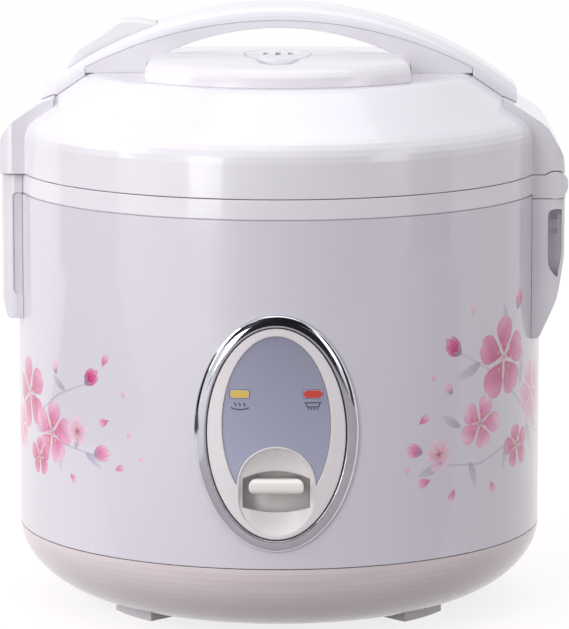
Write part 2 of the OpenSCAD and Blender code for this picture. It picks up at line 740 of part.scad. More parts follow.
module terminal_block() color([0.90, 0.88, 0.80]) rotate(-45) difference() {
    span([-2.2 * block_pitch, block_at - 6, floor_z + wall + fit],
        [2.2 * block_pitch, block_at + 6, floor_z + wall + 14]);
    for (i = [-1.5:1:1.5]) translate([i * block_pitch, block_at, floor_z + wall + 8]) {
        rod_y(2.2, 40);
        cylinder(r = 1.6, h = 20);
    }
}

// ---------- power inlet ----------

inlet_z = z_bowl + 3 + inlet_h / 2;
inlet_face = R + 3.6;
inlet_depth = 18;
socket_depth = 14;
pin_y = inlet_face - socket_depth;

module power_inlet() color([0.20, 0.20, 0.22]) difference() {
    union() {
        difference() {
            translate([0, 0, inlet_z]) intersection() {
                along_y(3 * R) polygon(rounded([
                    [-inlet_w / 2, -inlet_h / 2, 4], [inlet_w / 2, -inlet_h / 2, 4],
                    [inlet_w / 2, inlet_h / 2, 4], [-inlet_w / 2, inlet_h / 2, 4]]));
                span([-inlet_w, R - 3, -inlet_h], [inlet_w, inlet_face, inlet_h]);
            }
            cylinder(r = R + 0.1, h = z_lid);
        }
        span([-socket_w / 2 - 2, inlet_face - inlet_depth, inlet_z - socket_h / 2 - 2],
            [socket_w / 2 + 2, inlet_face - 2, inlet_z + socket_h / 2 + 2]);
    }
    translate([0, inlet_face + 1 - (socket_depth + 1) / 2, inlet_z]) along_y(socket_depth + 1)
        polygon(rounded([[-socket_w / 2, -socket_h / 2, 1], [socket_w / 2, -socket_h / 2, 1],
            [socket_w / 2, socket_h / 2, 5], [-socket_w / 2, socket_h / 2, 5]]));
}

module inlet_pins() color([0.80, 0.72, 0.45]) for (p = [[-7, 1], [0, 5], [7, 1]])
    span([p.x - 1, pin_y, inlet_z + p.y - 2], [p.x + 1, pin_y + 11, inlet_z + p.y + 2]);

// ---------- front panel ----------

bezel_proud = 2.4;
bezel_r = R + bezel_proud;
pocket_depth = 6;
pocket_t = 1.8;
bezel_back = R - pocket_depth;
backing_t = 1.4;
plate_sink = 1.2;
plate_leaf = 0.8;
plate_up_by = 4.4;
plate_z = z_panel + plate_up_by;
scoop_r = 18;
scoop_span = 6.4;
scoop_mid = z_panel - 28;
scoop_hi = scoop_mid + scoop_span / 2;
scoop_lo = scoop_mid - scoop_span / 2;
scoop_ball = 34;
scoop_deep = scoop_ball - 28.5;
scoop_y = scoop_deep - R - scoop_ball;
window_w = 32.2;
window_h = 20;
window_arch_r = 44;
window_drop = 3.5;
lens_up = 19.5;
lens_z = z_panel + lens_up;
lip = 0.8;

// Keeps what lies between two radii on the front side
module front_band(r_out, r_in) intersection() {
    translate([0, 0, z_bowl]) tube(r_out, r_in, sleeve_h);
    span([-R, -R - 20, z_bowl], [R, 0, z_ring]);
}

module oval_prism(w, h, z) translate([0, -R, z]) along_y(R) polygon(oval(w / 2, h / 2));

module trim_ring() color([0.75, 0.76, 0.80]) difference() {
    union() {
        intersection() {
            oval_prism(trim_w, trim_h, z_panel);
            front_band(R + trim_proud * 0.55, R + 0.05);
        }
        intersection() {
            oval_prism(trim_w - 3, trim_h - 3, z_panel);
            front_band(R + trim_proud, R + 0.05);
        }
    }
    oval_prism(trim_w - 2 * trim_band, trim_h - 2 * trim_band, z_panel);
}

module scoop_outline(grow = 0) {
    for (z = [scoop_hi, scoop_lo]) translate([0, z]) circle(r = scoop_r + grow);
    translate([-scoop_r - grow, scoop_lo]) square([2 * (scoop_r + grow), scoop_hi - scoop_lo]);
}

module plate_outline(grow = 0) difference() {
    translate([0, plate_z]) polygon(oval(plate_w / 2 + grow, plate_h / 2 + grow));
    scoop_outline(1.2 - grow);
}

module lens_hole(x, grow) translate([x, -R, lens_z]) along_y(R)
    square([lens_w + 2 * grow, lens_h + 2 * grow], center = true);

module window_arc(side)
    translate([0, -R, bar_z - window_drop + side * (window_arch_r - window_h / 2)])
        along_y(R) circle(r = window_arch_r, $fn = round_fn);

module panel_bezel() color([0.96, 0.94, 0.91]) difference() {
    union() {
        intersection() {
            oval_prism(trim_w - 2 * trim_band - lip, trim_h - 2 * trim_band - lip, z_panel);
            front_band(bezel_r, R + 0.05);
        }
        intersection() {
            oval_prism(panel_cut_w - 2 * fit, panel_cut_h - 2 * fit, z_panel);
            front_band(R + 0.1, R - backing_t);
        }
        intersection() {
            difference() {
                oval_prism(panel_cut_w - 2 * fit, panel_cut_h - 2 * fit, z_panel);
                oval_prism(panel_cut_w - 2 * fit - 2 * pocket_t,
                    panel_cut_h - 2 * fit - 2 * pocket_t, z_panel);
            }
            front_band(R, bezel_back);
        }
        intersection() {
            translate([0, -R, 0]) along_y(R) scoop_outline(pocket_t);
            translate([0, scoop_y, scoop_mid]) sphere(r = scoop_ball + pocket_t);
            front_band(R, bezel_back);
        }
        for (s = [-1, 1], t = [-1, 1])
            translate([s * (board_half - 2 * post_r), (board_y - fit - R + 2 * backing_t) / 2,
                board_mid + t * (board_h / 2 - 2 * post_r)])
                rod_y(post_r, R - 2 * backing_t + board_y + fit);
    }
    intersection() {
        translate([0, -R, 0]) along_y(R) plate_outline(fit);
        front_band(R + 20, bezel_r - plate_sink);
    }
    intersection() {
        translate([0, -R, 0]) along_y(R) scoop_outline();
        translate([0, scoop_y, scoop_mid]) sphere(r = scoop_ball);
    }
    intersection() {
        translate([0, -R, bar_z - window_drop]) along_y(R)
            square([window_w, window_h], center = true);
        window_arc(-1);
        window_arc(1);
    }
    for (s = [-1, 1]) lens_hole(s * lens_x, fit);
}

module panel_plate() color([0.58, 0.60, 0.71]) difference() {
    intersection() {
        translate([0, -R, 0]) along_y(R) plate_outline();
        front_band(bezel_r - plate_sink + plate_leaf, bezel_r - plate_sink);
    }
    for (s = [-1, 1]) lens_hole(s * lens_x, fit);
}

module lens(x) intersection() {
    lens_hole(x, 0);
    front_band(bezel_r - 0.1, bezel_back + 1.5);
}

module warm_lens() color([0.90, 0.75, 0.25]) lens(-lens_x);

module cook_lens() color([0.85, 0.20, 0.15]) lens(lens_x);

board_gap = 4.5;
board_y = board_gap - bezel_back;
board_half = 24;
board_h = 32;
board_mid = z_panel + 21;
board_t = 1.5;
post_r = 2;
lamp_r = 1.8;
lamp_h = 8;

module indicator_board() color([0.60, 0.50, 0.30])
    span([-board_half, board_y, board_mid - board_h / 2],
        [board_half, board_y + board_t, board_mid + board_h / 2]);

module indicator_lamps() color([0.95, 0.70, 0.50]) for (s = [-1, 1])
    translate([s * (lens_x - 1), board_y - lamp_r - fit, lens_z - lamp_h / 2])
        cylinder(r = lamp_r, h = lamp_h, $fn = 32);

// ---------- inner pot ----------

pot_z = z_plate + slip;

module inner_pot() color([0.62, 0.62, 0.65]) rotate_extrude() polygon(rounded([
    [0, pot_z, 0], [pot_r, pot_z, pot_corner], [pot_r, z_rim - 2, 1],
    [rim_r, z_rim - 2, 0.5], [rim_r, z_rim, 0.5], [pot_r - pot_t, z_rim, 1.5],
    [pot_r - pot_t, pot_z + pot_t, pot_corner - pot_t], [0, pot_z + pot_t, 0]]));

// ---------- lid ----------

latch_pivot = [-R + 4, z_lid + 16.5];
button_x = -crown_r - 4;
stem_w = 6;
stem_half = 5;
hook_clear = latch_w / 2 + 0.4;
lug_t = 3;
latch_spring_len = 3.5;
spring_room = hook_clear + lug_t + latch_spring_len + 0.7;

// Outline of the lid's hinge ear, drawn in by an inset
function lid_hinge_outline(inset = 0) = rounded([
    [R - 16, z_lid + 0.4 + 1.3 * inset, 0],
    [R + hinge_reach - inset, z_lid + 0.4 + 1.3 * inset, 0],
    [R + hinge_reach - 0.9 - inset, z_lid + 9.5, 8], [R + 2 - inset, z_band, 14],
    [R - 14, z_band + 10.5 - inset, 30], [R - 22, z_band + 14 - inset, 0],
    [R - 22, z_band - inset, 0]]);

// Outline of the lid's latch ear, drawn in by an inset
function lid_latch_outline(inset = 0) = rounded([
    [-R + 12, z_lid + 0.4 - inset, 0], [-R - latch_reach + inset, z_lid + 0.4 - inset, 0],
    [-R - latch_reach + inset, z_band - 8, 8], [-R - 2, z_band + 1 - inset, 16],
    [-R + 13, z_band + 11.4 - inset, 30], [-R + 22, z_band + 14.5 - inset, 0],
    [-R + 22, z_lid + 0.4, 0]]);

module latch_plan(x, w) mirror([1, 0, 0]) linear_extrude(z_crown) hinge_plan(x, w);

module lid_envelope() {
    lid_solid();
    intersection() {
        along_y(2 * hinge_half_w) polygon(lid_hinge_outline());
        linear_extrude(z_crown) hinge_plan(R + hinge_reach, hinge_half_w);
    }
    intersection() {
        along_y(2 * latch_half_w) polygon(lid_latch_outline());
        latch_plan(R + latch_reach, latch_half_w);
    }
}

module lid_shell() color([0.93, 0.91, 0.93]) {
    difference() {
        lid_envelope();
        lid_solid(wall, z_lid - 5);
        difference() {
            intersection() {
                along_y(2 * latch_half_w - 2 * wall) polygon(lid_latch_outline(wall));
                latch_plan(R + latch_reach - wall, latch_half_w - wall);
            }
            difference() {
                cylinder(r = R - 0.5, h = z_crown);
                span([-R - 5, -spring_room, 0], [-R + 30, spring_room, z_crown]);
            }
        }
        difference() {
            intersection() {
                along_y(2 * hinge_half_w - 2 * wall) polygon(lid_hinge_outline(wall));
                linear_extrude(z_crown) hinge_plan(R + hinge_reach - wall, hinge_half_w - wall);
            }
            cylinder(r = R - 0.5, h = z_crown);
            span([R - 30, -lug_half_w - 1, 0], [R + 30, lug_half_w + 1, z_crown]);
        }
        translate([0, 0, z_lid - 20]) cylinder(r = R + 0.4, h = 20.4);
        translate([hinge_x, 0, hinge_z]) rod_y(knuckle_r + seam, 3 * hinge_half_w);
        translate([0, -cap_front, z_crown - 10]) cylinder(r = duct_d / 2 + duct_t + fit, h = 20);
        for (s = [-1, 1], t = [-1, 1]) translate([s * grip_screw_x, t * grip_screw_y, z_crown - 9])
            cylinder(r = screw_r + fit, h = 12);
        span([button_x - stem_w / 2 - slip, -stem_half - slip, z_crown - 20],
            [button_x + stem_w / 2 + slip, stem_half + slip, z_crown + 5]);
    }
    for (s = [-1, 1]) intersection() {
        lid_envelope();
        difference() {
            translate([0, s * (hook_clear + lug_t / 2), 0]) along_y(lug_t) polygon(rounded([
                [latch_pivot.x - 5.5, latch_pivot.y - 6, 5], [latch_pivot.x + 5.5, latch_pivot.y - 6, 5],
                [latch_pivot.x + 7, z_crown, 0], [latch_pivot.x - 12, z_crown, 0]]));
            translate([latch_pivot.x, 0, latch_pivot.y])
                rod_y(latch_pin_d / 2 + pin_fit, 3 * latch_w);
        }
    }
    for (s = [-1, 1]) difference() {
        translate([hinge_x, s * (spring_half + 0.4 + lug_half_w) / 2, hinge_z])
            along_y(lug_half_w - spring_half - 0.4) union() {
                circle(r = knuckle_r - 0.5);
                translate([-4.5, 0]) square([4.5 + hinge_reach - hinge_out - 0.6, 9]);
            }
        translate([hinge_x, 0, hinge_z]) rod_y(hinge_pin_d / 2 + pin_fit, 3 * hinge_half_w);
    }
}

// ---------- deck ----------

deck_top_r = 900;
deck_slope = 3.4;
bank_back = 35;

// Body of revolution whose edge is the deck's curved front bank
module deck_disc() rotate_extrude() polygon(rounded([
    [0, z_crown, 0], [deck_front, z_crown, 0],
    [deck_front - 1.5, z_crown + deck_h - deck_slope - 1, deck_round],
    [deck_front - 40, z_crown + deck_h + 0.4, 20], [0, z_crown + deck_h + 1, 0]]));

module deck_solid() intersection() {
    deck_disc();
    along_y(3 * deck_front) intersection() {
        polygon(rounded([
            [-deck_half_w, z_crown, 0], [deck_half_w, z_crown, 0],
            [deck_half_w, z_crown + deck_h - 3.6, 7], [deck_half_w - 13, z_crown + deck_h, 14],
            [0, z_crown + deck_h + 2, 0], [-deck_half_w + 13, z_crown + deck_h, 14],
            [-deck_half_w, z_crown + deck_h - 3.6, 7]]));
        translate([0, z_deck - deck_top_r]) circle(r = deck_top_r, $fn = 360);
    }
    along_x(3 * deck_half_w) polygon(rounded([
        [-deck_front - 5, z_crown, 0], [-deck_front - 5, z_deck + 1, 0],
        [-bank_back, z_deck + 1, 7], [-bank_back + 10, z_crown + channel_h, 8],
        [deck_front - 14, z_crown + channel_h, 10], [deck_front + 1, z_crown + 0.6, 0],
        [deck_front + 1, z_crown, 0]]));
}

cap_sink = 6;
cap_sleeve = 10;
slot_w = 2.4;
slot_len = 11;
duct_t = 2;
notch_r = 24;
notch_sink = 4.5;

module lid_deck() color([0.92, 0.90, 0.92]) difference() {
    deck_solid();
    translate([0, -cap_front, z_deck - cap_sink]) cylinder(r = cap_d / 2 + slip, h = 20);
    translate([0, -cap_front, z_crown - 5]) cylinder(r = duct_d / 2 + duct_t + fit, h = 30);
    translate([0, -cap_front - cap_d / 2 - 2, z_deck + notch_r - notch_sink]) sphere(r = notch_r);
}

// ---------- handle ----------

// Height of the lid's slope under the handle's end
slope = (z_crown - z_band) / (R - crown_r);
z_end = z_crown - slope * (handle_half - crown_r) + handle_end_t + 1.5;
top_r = arc_radius(handle_half, z_top - z_end);
seam_end = 2.8;
seam_r = arc_radius(crown_r, handle_rise - cover_t - seam_end);
z_seam = z_top - cover_t;
under_h = 17.5;
under_r = arc_radius(leg_in, under_h);
z_under = z_top - handle_t;
grip_screw_x = crown_r - 15;
grip_screw_y = handle_w / 2 - 9.5;
end_cut = 0.2;

// Disc of radius r, whose highest point is at z, drawn in X and Z
module arch_disc(r, z) translate([0, z - r]) circle(r = r, $fn = 240);

// Arched bar about the handle's own centre, between two radii, with rounded outer edges
module arch_bar(r_in, r_out, w, edge) translate([0, 0, z_top - top_r]) rotate([90, 0, 0])
    rotate([0, 0, 40]) rotate_extrude(angle = 100, $fn = 240) polygon(rounded([
        [r_in, -w / 2, 0], [r_out, -w / 2, edge], [r_out, w / 2, edge], [r_in, w / 2, 0]]));

module handle_cover() color([0.94, 0.92, 0.94]) difference() {
    intersection() {
        arch_bar(top_r - 40, top_r, handle_w, 7);
        span([-handle_half, -handle_w, z_band], [handle_half, handle_w, z_top + 1]);
    }
    intersection() {
        along_y(2 * handle_w) arch_disc(seam_r, z_seam);
        span([-crown_r - fit, -handle_w, z_band], [crown_r + fit, handle_w, z_top]);
    }
    intersection() {
        arch_bar(top_r - 50, top_r - wall, handle_w - 2 * wall, 4);
        span([button_left - slip, -handle_w, z_band], [handle_half - wall, handle_w, z_top]);
    }
    along_y(2 * handle_w) polygon([[button_left - slip, z_crown - 4], [-handle_half, z_crown - 9],
        [-handle_half - 5, z_crown - 9], [-handle_half - 5, z_top], [button_left - slip, z_top]]);
    translate([0, 0, end_cut]) lid_solid();
    translate([0, 0, end_cut]) intersection() {
        along_y(2 * hinge_half_w) polygon(lid_hinge_outline());
        linear_extrude(z_top) hinge_plan(R + hinge_reach, hinge_half_w);
    }
    translate([0, 0, end_cut]) intersection() {
        along_y(2 * latch_half_w) polygon(lid_latch_outline());
        latch_plan(R + latch_reach, latch_half_w);
    }
    span([button_left - slip, -button_half_w - slip, z_band], [button_right + slip,
        button_half_w + slip, z_top + 5]);
}

spring_x = 14 - crown_r;
spring_r = 4;
spring_floor = z_crown + 3;

module handle_grip() color([0.92, 0.90, 0.92]) difference() {
    intersection() {
        along_y(handle_w - 0.4) arch_disc(seam_r - 0.1, z_seam - 0.1);
        span([-crown_r, -handle_w, z_crown], [crown_r, handle_w, z_top]);
    }
    intersection() {
        along_y(2 * handle_w) arch_disc(under_r, z_under);
        span([-leg_in, -handle_w, z_crown - 1], [leg_in, handle_w, z_top]);
    }
    translate([spring_x, 0, spring_floor]) cylinder(r = spring_r + 0.8, h = 40);
    for (s = [-1, 1], t = [-1, 1]) translate([s * grip_screw_x, t * grip_screw_y, z_crown - 2])
        cylinder(r = screw_r, h = 10);
}

module handle_screws() color([0.6, 0.6, 0.62]) for (s = [-1, 1], t = [-1, 1])
    translate([s * grip_screw_x, t * grip_screw_y, z_crown - wall - fit]) {
        translate([0, 0, -screw_sink]) cylinder(r = screw_head_r, h = screw_sink);
        cylinder(r = screw_r - 0.05, h = 9);
    }

// ---------- release button and latch ----------

button_left = -crown_r - 9;
button_right = 35 - crown_r;
button_slack = 0.8;
z_press = arc_z(button_x, seam_r, z_seam) + button_travel + button_slack;

module release_button() color([0.97, 0.97, 0.98]) difference() {
    union() {
        along_y(2 * button_half_w) difference() {
            polygon(rounded([
                [button_left, z_crown - 8, 0], [button_right, z_crown - 8, 0],
                [button_right, z_crown + 22.8, 1.5], [26 - crown_r, z_crown + 24.6, 8],
                [16 - crown_r, z_crown + 24.4, 9], [7 - crown_r, z_crown + 17.5, 30],
                [-crown_r - 6, z_crown + 9.5, 14], [button_left, z_crown + 2.5, 3]]));
            arch_disc(seam_r + button_travel + button_slack,
                z_seam + button_travel + button_slack);
        }
        span([button_x - stem_w / 2, -stem_half, stem_z], [button_x + stem_w / 2, stem_half,
            z_press + 1.5]);
    }
    translate([spring_x, 0, z_crown]) cylinder(r = spring_r + 0.8, h = spring_top - z_crown);
}

spring_top = z_crown + 18;

module button_spring() color([0.6, 0.6, 0.62]) translate([spring_x, 0, spring_floor])
    coil(spring_r, 0.5, spring_top - spring_floor, 6);

arm_r = 2.5;
arm_tip = [button_x, z_crown - 9.4];
stem_z = arm_tip.y + arm_r + 0.4;
hook_foot = [-R + 1, z_lid - 14.2];

// Straight arm with round ends, between two points
module arm(p, q, r) {
    d = q - p;
    translate(p) circle(r = r, $fn = 32);
    translate(q) circle(r = r, $fn = 32);
    translate(p) rotate(atan2(d.y, d.x)) translate([0, -r]) square([norm(d), 2 * r]);
}

module latch_hook() color([0.55, 0.56, 0.60]) along_y(latch_w) difference() {
    union() {
        translate(latch_pivot) circle(r = latch_pin_d / 2 + 2.5);
        arm(latch_pivot, arm_tip, arm_r);
        arm(latch_pivot, hook_foot, 1.4);
        polygon([hook_foot + [-1.4, 0], hook_foot + [0, -1.4],
            [-latch_slot_x - 0.3, hook_foot.y + 0.6], [-latch_slot_x - 0.3, hook_foot.y + 2],
            hook_foot + [1, 3.4]]);
    }
    translate(latch_pivot) circle(r = latch_pin_d / 2 + pin_fit);
}

module latch_pin() color([0.7, 0.7, 0.72]) translate([latch_pivot.x, 0, latch_pivot.y])
    rod_y(latch_pin_d / 2, 2 * hook_clear + 8);

module latch_spring() color([0.6, 0.6, 0.62])
    translate([latch_pivot.x, hook_clear + lug_t + fit, latch_pivot.y])
        rotate([-90, 0, 0]) coil(latch_pin_d / 2 + 1.1, 0.4, latch_spring_len, 3);

// ---------- lid's underside ----------

liner_z = z_lid + 0.8;
liner_t = 2;
dome = 4;
dome_r = cap_front + duct_d / 2 + 6;
inner_rise = 2.5;
skirt_out = funnel_r - 2;
skirt_z = z_rim + 5.6;
inner_z = z_rim + 6.2;
inner_r = pot_r + 1;

module lid_liner() color([0.85, 0.85, 0.87]) difference() {
    rotate_extrude() polygon([
        [0, liner_z + dome + liner_t], [dome_r, liner_z + dome + liner_t],
        [skirt_out - 6, liner_z + liner_t],
        [R - wall - fit, liner_z + liner_t], [R - wall - fit, liner_z], [skirt_out, liner_z],
        [skirt_out, skirt_z], [skirt_out - 1.8, skirt_z], [skirt_out - 4, liner_z - 1],
        [dome_r, liner_z + dome], [0, liner_z + dome]]);
    span([-R, -hook_clear - 0.5, liner_z - 1], [-R + 6.8, hook_clear + 0.5, liner_z + 5]);
    translate([0, -cap_front, liner_z - 5]) cylinder(r = duct_d / 2, h = 20);
    translate([0, 0, liner_z - 5]) cylinder(r = 3 + fit, h = 20);
}

module inner_lid() color([0.80, 0.80, 0.82]) difference() {
    rotate_extrude() polygon([
        [0, inner_z + inner_rise], [0, inner_z + inner_rise + 1],
        [dome_r, inner_z + inner_rise + 1], [inner_r - 14, inner_z + 1], [inner_r, inner_z + 1],
        [inner_r, inner_z], [inner_r - 14, inner_z], [dome_r, inner_z + inner_rise]]);
    translate([0, -cap_front, inner_z - 5]) cylinder(r = duct_d / 2 - 1, h = 20);
    translate([0, 0, inner_z - 5]) cylinder(r = 4, h = 20);
}

module lid_gasket() color([0.75, 0.75, 0.76]) rotate_extrude() polygon([
    [inner_r - 6, inner_z + 1 + fit + 1.5], [inner_r + 3, inner_z + 1 + fit + 1.5],
    [inner_r + 5, z_rim + slip + 1.5], [inner_r + 2, z_rim + slip], [inner_r - 4, inner_z - 4],
    [inner_r - 6, inner_z - fit], [inner_r + fit, inner_z - fit],
    [inner_r + fit, inner_z + 1 + fit], [inner_r - 6, inner_z + 1 + fit]]);

module lid_grommet() color([0.45, 0.45, 0.47]) {
    translate([0, 0, inner_z - 1]) cylinder(r = 3, h = liner_z + dome + liner_t + 2 - inner_z);
    translate([0, 0, inner_z + inner_rise - 1.5 - fit]) cylinder(r = 8, h = 1.5);
    translate([0, 0, liner_z + dome + liner_t + fit]) cylinder(r = 6, h = 1.5);
}

module vent_duct() color([0.85, 0.85, 0.87]) {
    foot = liner_z + dome + liner_t + fit;
    translate([0, -cap_front, foot])
        tube(duct_d / 2 + duct_t, duct_d / 2, z_deck - cap_sink - fit - foot);
}

module vent_seal() color([0.75, 0.75, 0.76])
    translate([0, -cap_front, inner_z + inner_rise + 1 + fit])
        tube(duct_d / 2 + 3, duct_d / 2 - 1, liner_z + dome - inner_z - inner_rise - 1 - 2 * fit);

module steam_cap() color([0.94, 0.92, 0.94]) difference() {
    union() {
        intersection() {
            translate([0, -cap_front, z_deck - cap_sink + slip]) cylinder(r = cap_d / 2, h = 20);
            deck_solid_top();
        }
        translate([0, -cap_front, z_deck - cap_sink - cap_sleeve])
            tube(duct_d / 2 - slip, duct_d / 2 - slip - 1.5, cap_sleeve + slip + 0.1);
    }
    for (x = [-1:1]) translate([2.5 * slot_w * x, -cap_front, z_deck - 2 * cap_sleeve])
        linear_extrude(4 * cap_sleeve) square([slot_w, slot_len - 1.2 * slot_w * abs(x)],
            center = true);
}

// Space under the deck's top surface, for what is flush with it
module deck_solid_top() intersection() {
    along_y(3 * deck_front) translate([0, z_deck - deck_top_r]) circle(r = deck_top_r, $fn = 360);
    deck_disc();
}

base_shell();
feet();
body_sleeve();
upper_ring();
hinge_ear();
latch_ear();
hinge_pin();
hinge_spring();
drip_cup();
inner_housing();
side_heater();
heating_plate();
heating_element();
plate_legs();
chassis_screws();
sensor_seat();
sensor_spring();
sensor_cap();
magnet_carrier();
lever_bracket();
lever_pin();
cook_lever();
switch_knob();
micro_switch();
thermal_fuse();
terminal_block();
power_inlet();
inlet_pins();
trim_ring();
panel_bezel();
panel_plate();
warm_lens();
cook_lens();
indicator_board();
indicator_lamps();
inner_pot();
lid_shell();
lid_deck();
handle_cover();
handle_grip();
handle_screws();
lid_liner();
inner_lid();
lid_gasket();
lid_grommet();
vent_duct();
vent_seal();
steam_cap();
release_button();
button_spring();
latch_hook();
latch_pin();
latch_spring();
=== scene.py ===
"""Jar rice cooker with a printed sleeve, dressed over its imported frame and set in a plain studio."""
from __future__ import annotations

import json
import logging
import math
from dataclasses import dataclass, field
from enum import Enum
from typing import Optional, Sequence

import bmesh
import bpy
import numpy as np
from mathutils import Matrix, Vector

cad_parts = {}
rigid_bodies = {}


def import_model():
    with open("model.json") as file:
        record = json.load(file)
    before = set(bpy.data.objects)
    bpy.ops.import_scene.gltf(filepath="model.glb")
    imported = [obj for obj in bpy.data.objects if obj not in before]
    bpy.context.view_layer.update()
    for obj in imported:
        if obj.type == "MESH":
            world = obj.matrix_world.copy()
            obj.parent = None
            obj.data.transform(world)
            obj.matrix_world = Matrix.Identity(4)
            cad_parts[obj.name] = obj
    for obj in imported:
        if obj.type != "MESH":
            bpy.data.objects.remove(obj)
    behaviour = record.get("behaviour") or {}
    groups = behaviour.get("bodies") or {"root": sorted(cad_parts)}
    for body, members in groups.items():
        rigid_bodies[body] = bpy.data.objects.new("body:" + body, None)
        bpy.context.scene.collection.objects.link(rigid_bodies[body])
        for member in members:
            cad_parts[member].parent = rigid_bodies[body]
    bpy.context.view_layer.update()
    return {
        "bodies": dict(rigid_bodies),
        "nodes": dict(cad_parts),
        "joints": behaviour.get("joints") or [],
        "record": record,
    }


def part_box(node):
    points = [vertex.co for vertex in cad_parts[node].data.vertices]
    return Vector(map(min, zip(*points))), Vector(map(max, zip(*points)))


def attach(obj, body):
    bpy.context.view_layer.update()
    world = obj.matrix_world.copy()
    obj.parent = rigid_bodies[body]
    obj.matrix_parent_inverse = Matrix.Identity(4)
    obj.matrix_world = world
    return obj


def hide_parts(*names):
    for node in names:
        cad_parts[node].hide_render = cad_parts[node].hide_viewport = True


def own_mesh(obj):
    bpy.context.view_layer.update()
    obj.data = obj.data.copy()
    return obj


LOG = logging.getLogger("rice_cooker")
MM = 0.001
SLEEVE_RADIUS = 131.0
Colour = tuple[float, float, float]
Point = tuple[float, float, float]
Spot = tuple[float, float]
Socket = bpy.types.NodeSocket
Material = bpy.types.Material
Piece = bpy.types.Object


class Ride(Enum):
    """Bodies of the cooker that pieces ride on."""

    BASE = "base"
    LID = "lid"
    BUTTON = "button"


def linear_light(colour: object) -> np.ndarray:
    """Turns screen colours, from 0 to 1, into the linear light that shaders take."""
    seen = np.asarray(colour, float)
    return np.where(seen <= 0.04045, seen / 12.92, ((seen + 0.055) / 1.055) ** 2.4)


def to_linear(colour: Sequence[float]) -> tuple[float, ...]:
    """Turns one screen colour into linear light, with an alpha of 1."""
    return (*linear_light(colour).tolist(), 1.0)


# ---- shader graphs


class Tree:
    """A node tree, with short calls that add nodes and join them."""

    def __init__(self, tree: bpy.types.NodeTree) -> None:
        """Takes a node tree."""
        self.tree = tree

    def feed(self, socket: Socket, value: object) -> None:
        """Gives a socket a value, or links it where the value is a socket.

        Args:
            socket: The socket that takes the value.
            value: A socket, a number, a colour or a vector.
        """
        if isinstance(value, Socket):
            self.tree.links.new(value, socket)
        else:
            socket.default_value = value

    def node(self, kind: str, feeds: Optional[dict] = None, **settings: object) -> bpy.types.Node:
        """Adds a node, sets its own properties and feeds its inputs.

        Args:
            kind: Blender's name of the node type.
            feeds: Values or sockets for its inputs, by name or number.
            **settings: Properties of the node, by name.

        Returns:
            The new node.
        """
        made = self.tree.nodes.new(kind)
        for key, value in settings.items():
            setattr(made, key, value)
        for key, value in (feeds or {}).items():
            self.feed(made.inputs[key], value)
        return made

    def sums(self, operation: str, *values: object) -> Socket:
        """Adds a maths node, by Blender's name of its operation, over numbers or sockets."""
        return self.node("ShaderNodeMath", dict(enumerate(values)), operation=operation).outputs[0]

    def spread(self, value: Socket, low: float, high: float, source: Spot = (0.3, 0.7)) -> Socket:
        """Maps a value from its own range onto another, held at its ends."""
        ends = dict(zip(("From Min", "From Max", "To Min", "To Max"), (*source, low, high)))
        return self.node("ShaderNodeMapRange", {"Value": value, **ends}).outputs[0]

    def white_rays(self) -> Socket:
        """Finds the rays that see the background: from the camera, off gloss and through glass.

        Returns:
            A value that is 1 for those rays.
        """
        seen = self.node("ShaderNodeLightPath").outputs
        white = self.sums("MAXIMUM", seen["Is Camera Ray"], seen["Is Glossy Ray"])
        return self.sums("MAXIMUM", white, seen["Is Transmission Ray"])


